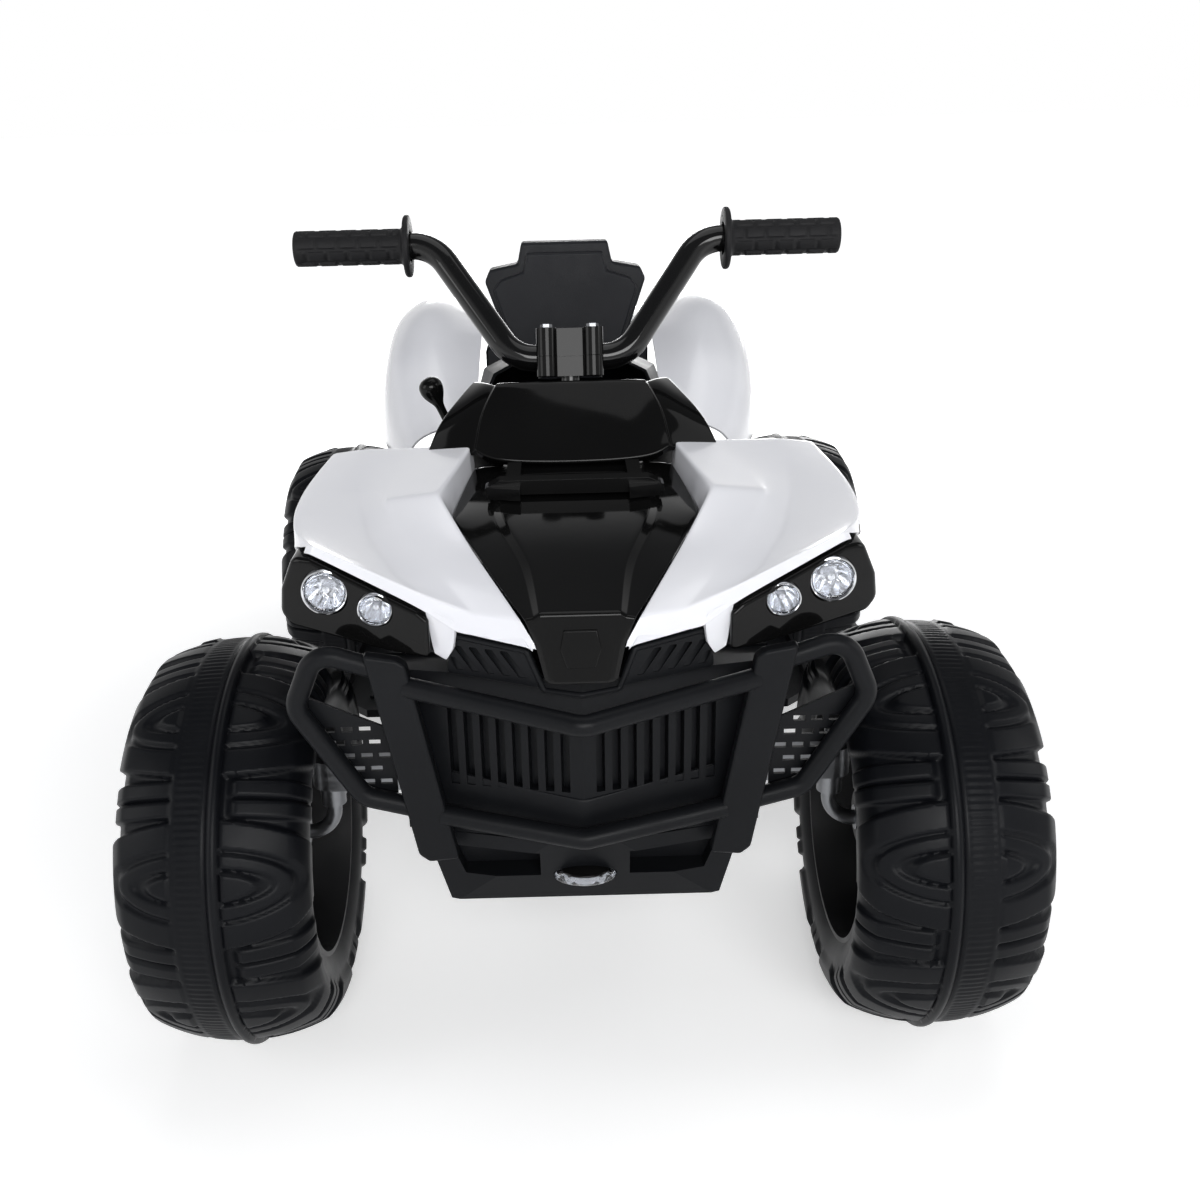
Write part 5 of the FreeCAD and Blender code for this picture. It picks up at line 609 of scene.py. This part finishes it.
grilleLip = {
    "rows": [[(0, -463.8, 282.8), (52, -450.8, 290.6), (102, -438.3, 298.4)],
             [(0, -463.8, 252.6), (52, -450.8, 252.6), (102, -438.3, 252.6)]],
    "columns": {0: 0.8}, "rowEdges": {}, "points": {(0, 0): 0.8, (1, 0): 0.8},
}
cagePanel("grille.lip", "grille_panel", grilleLip, wholeWidth=True, replaces=False, corner=0.8)
print("stage: grille lip made")


# Handlebar grips, in metres

gripShape = {"radius": 0.0146, "pad": 0.0012, "padRows": 8, "padColumns": 5, "across": 96, "bodySteps": 72,
             "padEdge": (0.0008, 0.0017), "padEnds": (0.001, 0.002), "bandIn": 0.004, "bandOut": 0.006,
             "body": (0.0078, 0.002),
             "collar": [(0.0, 0.0135), (0.0, 0.0242), (0.0006, 0.0251), (0.0022, 0.0254), (0.0038, 0.0251),
                        (0.0048, 0.024), (0.0052, 0.0185), (0.0066, 0.0158)],
             "tip": [(0.0006, 0.0138), (0, 0.0124), (0, 0.004), (0.0008, 0.0034), (0.0008, 0.0)]}


def gripPad(along, angle, start, end):
    row = angle / (2 * math.pi) * gripShape["padRows"]
    shift = 0.5 if int(row) % 2 else 0.0
    column = (along - start) / (end - start) * gripShape["padColumns"] + shift
    edge = min(row % 1, 1 - row % 1) / gripShape["padRows"] * 2 * math.pi * gripShape["radius"]
    ends = min(column % 1, 1 - column % 1) / gripShape["padColumns"] * (end - start)
    lift = stepUp(*gripShape["padEdge"], edge) * stepUp(*gripShape["padEnds"], ends)
    inBand = stepUp(0.0, gripShape["bandIn"], along - start) * stepUp(0.0, gripShape["bandOut"], end - along)
    return gripShape["radius"] - gripShape["pad"] * (1 - lift) * inBand


def gripPiece(node, side):
    low, high = (Vector(corner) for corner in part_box(node))
    length, across, steps = high.x - low.x, gripShape["across"], gripShape["bodySteps"]
    start, end = gripShape["body"][0], length - gripShape["body"][1]
    stations = list(gripShape["collar"])
    stations += [(start + (end - start) * step / steps, None) for step in range(steps + 1)]
    stations += [(length - along, radius) for along, radius in gripShape["tip"]]
    vertices = []
    for along, radius in stations:
        for k in range(across):
            angle = 2 * math.pi * k / across
            reach = gripPad(along, angle, start, end) if radius is None else radius
            vertices.append((along, reach * math.cos(angle), reach * math.sin(angle)))
    name = "grip.left" if side > 0 else "grip.right"
    piece = meshPiece(name, vertices, ringFaces(len(stations), across), smoothAngle=45)
    place = Vector((low.x if side > 0 else high.x, (low.y + high.y) / 2, (low.z + high.z) / 2))
    piece.matrix_world = Matrix.Translation(place) @ Matrix.Rotation(0 if side > 0 else math.pi, 4, "Z")
    finishPiece(piece, node)
    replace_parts(piece, node)


gripPiece("grip_left", 1)
gripPiece("grip_right", -1)
print("stage: grips moulded")


# Headlight pods: outline as (across, up) and corner radii in millimetres, on a plane that sweeps back

lampPod = {"outline": [(97, 414), (104, 419.4), (174, 447.2), (187.4, 447.6), (197.6, 424), (199.6, 407),
                       (193, 398.6), (124, 388.4), (97, 387.8)],
           "corners": [4, 4, 5, 8, 12, 9, 9, 6, 4], "plane": (103, -455, 0.3838), "depth": 33,
           "rounding": 3.2, "floors": False,
           "holes": [(166, 426, 15.9), (132, 418, 11.9)], "holeDepth": 13, "holeSides": 56}


def filletLoop(points, radii, steps=7):
    loop = []
    points = [Vector(point) for point in points]
    for index, corner in enumerate(points):
        before, after = points[index - 1], points[(index + 1) % len(points)]
        inward, outward = (before - corner).normalized(), (after - corner).normalized()
        half = inward.angle(outward) / 2
        most = min((before - corner).length, (after - corner).length) * 0.45
        reach = min(radii[index] / math.tan(half), most)
        for step in range(steps + 1):
            share = step / steps
            loop.append(corner + inward * reach * (1 - share) ** 2 + outward * reach * share ** 2)
    return loop


def insetLoop(loop, distance):
    inset = []
    for index, point in enumerate(loop):
        along = (loop[(index + 1) % len(loop)] - loop[index - 1]).normalized()
        inset.append(point + Vector((along.y, -along.x)) * distance)
    return inset


def wallBetween(shape, first, second):
    count = len(first)
    for k in range(count):
        shape.faces.new((first[k], first[(k + 1) % count], second[(k + 1) % count], second[k]))
    return [shape.edges.get((first[k], first[(k + 1) % count])) for k in range(count)]


# A plate on a plane that sweeps back, with a rounded front edge and holes or sunk slots in its face
def facedPlate(name, node, plate, holes, side):
    x0, y0, sweep = plate["plane"]
    outline = filletLoop(plate["outline"], plate["corners"])
    shape = bmesh.new()

    def ring(loop, depths):
        return [shape.verts.new(Vector((side * x, y0 + (x - x0) * sweep + depth, z)) / 1000)
                for (x, z), depth in zip(loop, depths)]

    def level(loop, depth):
        return ring(loop, [depth] * len(loop))

    radius, steps = plate["rounding"], 5
    rings = []
    for k in range(steps + 1):
        turn = math.pi / 2 * k / steps
        rings.append(level(insetLoop(outline, radius * (1 - math.sin(turn))), radius * (1 - math.cos(turn))))
    rings.append(level(outline, plate["depth"]))
    front = [wallBetween(shape, first, second) for first, second in zip(rings, rings[1:])][0]
    for loop, depths in holes:
        inner = ring(loop, depths)
        front += wallBetween(shape, level(loop, 0), inner)
        if plate["floors"]:
            shape.faces.new(inner)
    bmesh.ops.triangle_fill(shape, edges=front, use_beauty=True)
    shape.faces.new(rings[-1])
    bmesh.ops.recalc_face_normals(shape, faces=shape.faces)
    data = bpy.data.meshes.new(name)
    shape.to_mesh(data)
    shape.free()
    piece = placed(name, data)
    smoothShade(piece, 40)
    return finishPiece(piece, node)


def makePod(node, side):
    holes = []
    for x, z, hole in lampPod["holes"]:
        turns = [2 * math.pi * k / lampPod["holeSides"] for k in range(lampPod["holeSides"])]
        loop = [(x + hole * math.cos(turn), z + hole * math.sin(turn)) for turn in turns]
        holes.append((loop, [lampPod["holeDepth"]] * len(loop)))
    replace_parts(facedPlate(node + ".face", node, lampPod, holes, side), node)


makePod("headlight_pod_left", 1)
makePod("headlight_pod_right", -1)
print("stage: headlight pods made")


# Chin panels beside the nose: outline, slots and raised rim as (across, up) in millimetres

chinPanel = {"outline": [(24, 372.4), (34.5, 398.4), (84, 403.4), (87.5, 374.6)], "corners": [2, 2, 3, 3],
             "plane": (0, -483.8, 0.37), "depth": 16, "rounding": 1.2, "floors": True}
chinSlots = {"first": 34.4, "pitch": 10.2, "width": 5.6, "foot": 378.6, "head": 395.4, "lean": 12.4,
             "corner": 1.2, "count": 5, "last": 0.5, "sink": (0.8, 5)}
chinRim = {"path": [(82.4, 402.4), (34.2, 397.6), (24, 371.6), (0, 371.6)], "radius": 2.1, "bend": 3,
           "sides": 12}


def makeChin(side, ending):
    holes = []
    low, high, width = chinSlots["foot"], chinSlots["head"], chinSlots["width"]
    shallow, deep = chinSlots["sink"]
    for index in range(chinSlots["count"]):
        reach = chinSlots["last"] if index == chinSlots["count"] - 1 else 1
        x = chinSlots["first"] + index * chinSlots["pitch"]
        lean, top = chinSlots["lean"] * reach, low + (high - low) * reach
        slot = [(x, low), (x + lean, top), (x + lean + width, top), (x + width, low)]
        loop = filletLoop(slot, [chinSlots["corner"]] * len(slot), steps=4)
        holes.append((loop, [shallow + (deep - shallow) * (z - low) / (high - low) for x, z in loop]))
    return facedPlate("chin.panel" + ending, "chin_grille", chinPanel, holes, side)


def makeChinRim():
    x0, y0, sweep = chinPanel["plane"]
    half = [Vector((x, y0 + (x - x0) * sweep, z)) / 1000 for x, z in chinRim["path"]]
    radius, bend = chinRim["radius"] / 1000, chinRim["bend"] / 1000
    finishPiece(tubeAlong("chin.rim", mirroredPath(half), radius, bend, chinRim["sides"]), "chin_grille")


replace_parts(makeChin(1, ".left"), "chin_grille")
makeChin(-1, ".right")
makeChinRim()
print("stage: chin panels made")


# Lamps: place and radius of each on the left, sections as (depth, share of the radius), in metres

lampShape = {"depth": 0.0135, "flutes": 10, "flute": 0.07, "sides": 72,
             "bowl": {"steps": 14, "floor": 0.0129, "rise": 0.7, "foot": 0.22, "mouth": 0.8},
             "lamps": {"big": (0.166, -0.4318, 0.426, 0.0157), "small": (0.132, -0.4449, 0.418, 0.0117)}}
lampSections = {
    "bulb": [(-0.0135, 0.24), (-0.00675, 0.22), (-0.00486, 0.14), (-0.00432, 0)],
    "bezel": [(-0.0036, 0.87), (-0.0002, 0.87), (0.0009, 0.885), (0.0014, 0.925), (0.0011, 0.97), (0.0002, 1),
              (-0.009, 1)],
    "ring": [(-0.00405, 0.79), (-0.003, 0.8), (-0.0027, 0.88), (-0.0039, 0.88)],
    "glass": [(-0.0018, 0), (-0.0018, 0.85), (-0.0006, 0.86), (0.00075, 0.78), (0.0021, 0.5), (0.00255, 0)],
}


# A turned shape from (depth, radius, flute) triples
def turned(name, section, sides):
    vertices = []
    for depth, radius, flute in section:
        for k in range(sides):
            angle = 2 * math.pi * k / sides
            reach = radius * (1 + flute * math.cos(lampShape["flutes"] * angle))
            vertices.append((depth, reach * math.cos(angle), reach * math.sin(angle)))
    return meshPiece(name, vertices, ringFaces(len(section), sides), smoothAngle=30)


def bowlSection():
    bowl, section = lampShape["bowl"], []
    for k in range(bowl["steps"] + 1):
        share = k / bowl["steps"]
        depth = lampShape["depth"] * bowl["rise"] * share ** 2 - bowl["floor"]
        section.append((depth, bowl["foot"] + (bowl["mouth"] - bowl["foot"]) * share,
                        lampShape["flute"] * math.sin(math.pi * share)))
    return section


def makeHeadlights():
    aim = Matrix.Rotation(math.radians(-90), 4, "Z")
    for side, ending in ((1, "left"), (-1, "right")):
        for lampName, (x, y, z, radius) in lampShape["lamps"].items():
            for part, node in (("bowl", "headlight_reflectors"), ("bulb", "headlight_reflectors"),
                               ("bezel", "headlight_reflectors"), ("ring", "headlight_pod_" + ending),
                               ("glass", "headlight_lenses")):
                shares = bowlSection() if part == "bowl" else [(*point, 0) for point in lampSections[part]]
                section = [(depth, radius * share, flute) for depth, share, flute in shares]
                piece = turned(part + "." + lampName + "." + ending, section, lampShape["sides"])
                piece.matrix_world = Matrix.Translation((side * x, y, z)) @ aim
                finishPiece(piece, node)
                if part in ("bowl", "glass") and (lampName, ending) == ("big", "left"):
                    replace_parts(piece, node)


makeHeadlights()
print("stage: headlights made")


# Gear lever: profile as (height, radius) in millimetres up the leaning stick

leverShape = {"foot": (-0.102, -0.085, 0.4337), "lean": 23, "sides": 40,
              "bossHalf": 0.005, "bossRadius": 0.009,
              "profile": [(0, 4), (30, 3.7), (38, 3.8), (41, 4.6), (45, 7), (49, 9.2), (53, 10.5), (57, 10.9),
                          (60.4, 10.2), (63, 8.4), (64.8, 5.6), (65.6, 2.8), (65.8, 0)]}


def makeLever():
    section = [(height / 1000, radius / 1000, 0) for height, radius in leverShape["profile"]]
    stick = turned("lever.stick", section, leverShape["sides"])
    upright = Matrix.Rotation(math.radians(-90 - leverShape["lean"]), 4, "Y")
    stick.matrix_world = Matrix.Translation(leverShape["foot"]) @ upright
    smoothing = stick.modifiers.new("smoothing", "SUBSURF")
    smoothing.levels = smoothing.render_levels = 1
    x, y, z = leverShape["foot"]
    ends = [(x - leverShape["bossHalf"], y, z), (x + leverShape["bossHalf"], y, z)]
    boss = tubeAlong("lever.boss", ends, leverShape["bossRadius"], 0, leverShape["sides"])
    for piece in (stick, boss):
        finishPiece(piece, "gear_lever")
    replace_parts(stick, "gear_lever")


makeLever()
print("stage: gear lever made")


# Fog lamp bowl behind its lens, in metres

fogBowl = {"place": (0, -0.45, 0.217), "half": (0.0206, 0.0078, 0.0068), "rings": 10, "sides": 64,
           "flute": 0.04, "flutes": 12}
# The dark cap over the fog lamp's upper half is painted shade and painted dark reflection, not a part of the
# lamp
fogPaintedShade = {"half": (0.0226, 0.0164, 0.0086), "from": 40, "to": 86, "rings": 9, "sides": 48, "wall": 0.0012}


def makeFogBowl():
    halfX, halfY, halfZ = fogBowl["half"]
    vertices = []
    for ring in range(fogBowl["rings"]):
        tilt = math.pi / 2 * ring / (fogBowl["rings"] - 1)
        for k in range(fogBowl["sides"]):
            angle = 2 * math.pi * k / fogBowl["sides"]
            flute = fogBowl["flute"] * math.cos(fogBowl["flutes"] * angle) * math.sin(2 * tilt)
            reach = math.cos(tilt) * (1 + flute)
            vertices.append((halfX * reach * math.cos(angle), halfY * math.sin(tilt),
                             halfZ * reach * math.sin(angle)))
    piece = meshPiece("fog.bowl", vertices, ringFaces(fogBowl["rings"], fogBowl["sides"]), smoothAngle=60)
    piece.matrix_world = Matrix.Translation(fogBowl["place"])
    finishPiece(piece, "fog_lamp_lens", "lamp_bowl")


# Painted shade: a dark cap over the upper half of the fog lamp stands in for the bull bar's shadow and the
# dark reflection there
def makeFogPaintedShade():
    halfX, halfY, halfZ = fogPaintedShade["half"]
    rings, sides = fogPaintedShade["rings"], fogPaintedShade["sides"]
    vertices = []
    for ring in range(rings):
        tilt = math.radians(fogPaintedShade["from"] + (fogPaintedShade["to"] - fogPaintedShade["from"]) * ring / (rings - 1))
        for k in range(sides):
            angle = 2 * math.pi * k / sides
            reach = math.cos(tilt)
            vertices.append((halfX * reach * math.cos(angle), halfY * reach * math.sin(angle),
                             halfZ * math.sin(tilt)))
    vertices.append((0, 0, halfZ))
    faces = ringFaces(rings, sides)
    last = (rings - 1) * sides
    faces += [(last + k, last + (k + 1) % sides, len(vertices) - 1) for k in range(sides)]
    piece = meshPiece("fog.painted_shade", vertices, faces, smoothAngle=60)
    wall = piece.modifiers.new("wall", "SOLIDIFY")
    wall.thickness = fogPaintedShade["wall"]
    piece.matrix_world = Matrix.Translation(fogBowl["place"])
    finishPiece(piece, "skid_panel", "black_gloss")


makeFogBowl()
makeFogPaintedShade()
print("stage: fog lamp bowl made")


# Seat back inset: half outline as (across, up), in metres

seatInset = {"outline": [(0.0425, 0.5615), (0.0475, 0.5405), (0.0735, 0.5325), (0.0815, 0.522),
                         (0.0705, 0.487), (0.062, 0.462), (0.057, 0.446)],
             "front": 0.266, "top": 0.57, "lean": 0.08, "thickness": 0.012, "rounding": 0.0028}


def makeSeatInset():
    half = seatInset["outline"]
    outline = half + [(-x, z) for x, z in reversed(half)]
    front = [Vector((x, seatInset["front"] - (seatInset["top"] - z) * seatInset["lean"], z))
             for x, z in outline]
    back = [point + Vector((0, seatInset["thickness"], 0)) for point in front]
    finishPiece(platePiece("seat.inset", front, back, seatInset["rounding"]), "seat")


makeSeatInset()
print("stage: seat inset made")


# CAD nodes that are shown as they are

for name, node in nodes.items():
    if not node.hide_render:
        node.data.materials.clear()
        node.data.materials.append(finishes[slotOf[name]])


# Studio: lamps as (place, aim, size, power), background strengths

studioLights = {
    "front": ((0.35, -2.7, 1.45), (0, 0, 0.3), (1.7, 1.0), 50),
    "overhead": ((0.1, 0.1, 2.6), (0, 0, 0.3), (2.0, 1.6), 13),
    "window": ((2.3, -0.7, 1.5), (0, 0, 0.4), (0.9, 1.3), 12),
    "fill": ((-2.3, -1.2, 1.3), (0, 0, 0.3), (1.2, 1.4), 16),
    "rear": ((0.4, 2.7, 0.62), (0, 0, 0.3), (1.8, 0.6), 24),
}
skyLight = {"colour": (0.9, 0.93, 1, 1), "strength": 0.12}
ceiling = {"from": 0.3, "to": 0.62, "white": 0.12}
floorPaper = {"half": 40, "colour": (0.93, 0.93, 0.93, 1), "roughness": 0.9, "specular": 0.1}
floorGlow = {"near": 0.42, "far": 1.0, "from": 0.55, "to": 1.5}
pureWhite = (1, 1, 1, 1)


def mathNode(tree, operation, first, second):
    node = tree.nodes.new("ShaderNodeMath")
    node.operation = operation
    for socket, source in zip(node.inputs, (first, second)):
        if isinstance(source, (int, float)):
            socket.default_value = source
        else:
            tree.links.new(source, socket)
    return node.outputs["Value"]


def rampNode(tree, source, fromRange, toRange):
    ramp = tree.nodes.new("ShaderNodeMapRange")
    ramp.interpolation_type = "SMOOTHSTEP"
    ramp.inputs["From Min"].default_value, ramp.inputs["From Max"].default_value = fromRange
    ramp.inputs["To Min"].default_value, ramp.inputs["To Max"].default_value = toRange
    tree.links.new(source, ramp.inputs["Value"])
    return ramp.outputs["Result"]


# The floor is white to the eye, in metal and in glass, and keeps the shadow near the object
def makeFloor():
    data = bpy.data.meshes.new("floor")
    half = floorPaper["half"]
    corners = [(-half, -half, 0), (half, -half, 0), (half, half, 0), (-half, half, 0)]
    data.from_pydata(corners, [], [(0, 1, 2, 3)])
    floor = placed("floor", data)
    paper, tree, shader = newFinish("paper")
    shader.inputs["Base Color"].default_value = floorPaper["colour"]
    shader.inputs["Roughness"].default_value = floorPaper["roughness"]
    shader.inputs["Specular IOR Level"].default_value = floorPaper["specular"]
    shader.inputs["Emission Color"].default_value = pureWhite
    distance = tree.nodes.new("ShaderNodeVectorMath")
    distance.operation = "LENGTH"
    tree.links.new(tree.nodes.new("ShaderNodeTexCoord").outputs["Object"], distance.inputs[0])
    glow = rampNode(tree, distance.outputs["Value"], (floorGlow["from"], floorGlow["to"]),
                    (floorGlow["near"], floorGlow["far"]))
    path = tree.nodes.new("ShaderNodeLightPath")
    seen = mathNode(tree, "MAXIMUM", path.outputs["Is Glossy Ray"], path.outputs["Is Transmission Ray"])
    seen = mathNode(tree, "MAXIMUM", seen, path.outputs["Is Camera Ray"])
    tree.links.new(mathNode(tree, "MULTIPLY", seen, glow), shader.inputs["Emission Strength"])
    data.materials.append(paper)


# White walls all round; in reflections the ceiling over them is darker
def makeSky():
    world = bpy.data.worlds.new("studio")
    bpy.context.scene.world = world
    world.use_nodes = True
    tree = world.node_tree
    sky = tree.nodes["Background"]
    sky.inputs["Color"].default_value = skyLight["colour"]
    sky.inputs["Strength"].default_value = skyLight["strength"]
    white = tree.nodes.new("ShaderNodeBackground")
    white.inputs["Color"].default_value = pureWhite
    white.inputs["Strength"].default_value = 1.0
    parts = tree.nodes.new("ShaderNodeSeparateXYZ")
    tree.links.new(tree.nodes.new("ShaderNodeTexCoord").outputs["Generated"], parts.inputs["Vector"])
    wall = rampNode(tree, parts.outputs["Z"], (ceiling["from"], ceiling["to"]), (1, ceiling["white"]))
    path = tree.nodes.new("ShaderNodeLightPath")
    mirrored = mathNode(tree, "MAXIMUM", path.outputs["Is Glossy Ray"], path.outputs["Is Transmission Ray"])
    mirrored = mathNode(tree, "MULTIPLY", mirrored, wall)
    seen = mathNode(tree, "MAXIMUM", path.outputs["Is Camera Ray"], mirrored)
    mixed = tree.nodes.new("ShaderNodeMixShader")
    tree.links.new(seen, mixed.inputs["Fac"])
    tree.links.new(sky.outputs["Background"], mixed.inputs[1])
    tree.links.new(white.outputs["Background"], mixed.inputs[2])
    tree.links.new(mixed.outputs["Shader"], tree.nodes["World Output"].inputs["Surface"])


def areaLight(name, place, aim, size, power):
    light = bpy.data.lights.new(name, "AREA")
    light.shape = "RECTANGLE"
    light.size, light.size_y = size
    light.energy = power
    lamp = placed(name, light)
    lamp.location = place
    lamp.rotation_euler = (Vector(aim) - Vector(place)).to_track_quat("-Z", "Y").to_euler()


cameraPlace = {"place": (-0.0085, -1.204, 0.722), "pitch": 21.2, "roll": -1.5, "sensor": 36, "lens": 37.98,
               "shift": (0.0285, -0.0075)}


def photoCamera():
    data = bpy.data.cameras.new("photo")
    data.sensor_width = cameraPlace["sensor"]
    data.lens = cameraPlace["lens"]
    data.shift_x, data.shift_y = cameraPlace["shift"]
    camera = placed("photo", data)
    aim = Matrix.Rotation(math.radians(90 - cameraPlace["pitch"]), 4, "X")
    roll = Matrix.Rotation(math.radians(cameraPlace["roll"]), 4, "Z")
    camera.matrix_world = Matrix.Translation(cameraPlace["place"]) @ aim @ roll
    bpy.context.scene.camera = camera


makeFloor()
makeSky()
for name, lamp in studioLights.items():
    areaLight(name, *lamp)
photoCamera()
bpy.context.scene.view_settings.view_transform = "Standard"
print("stage: studio set")
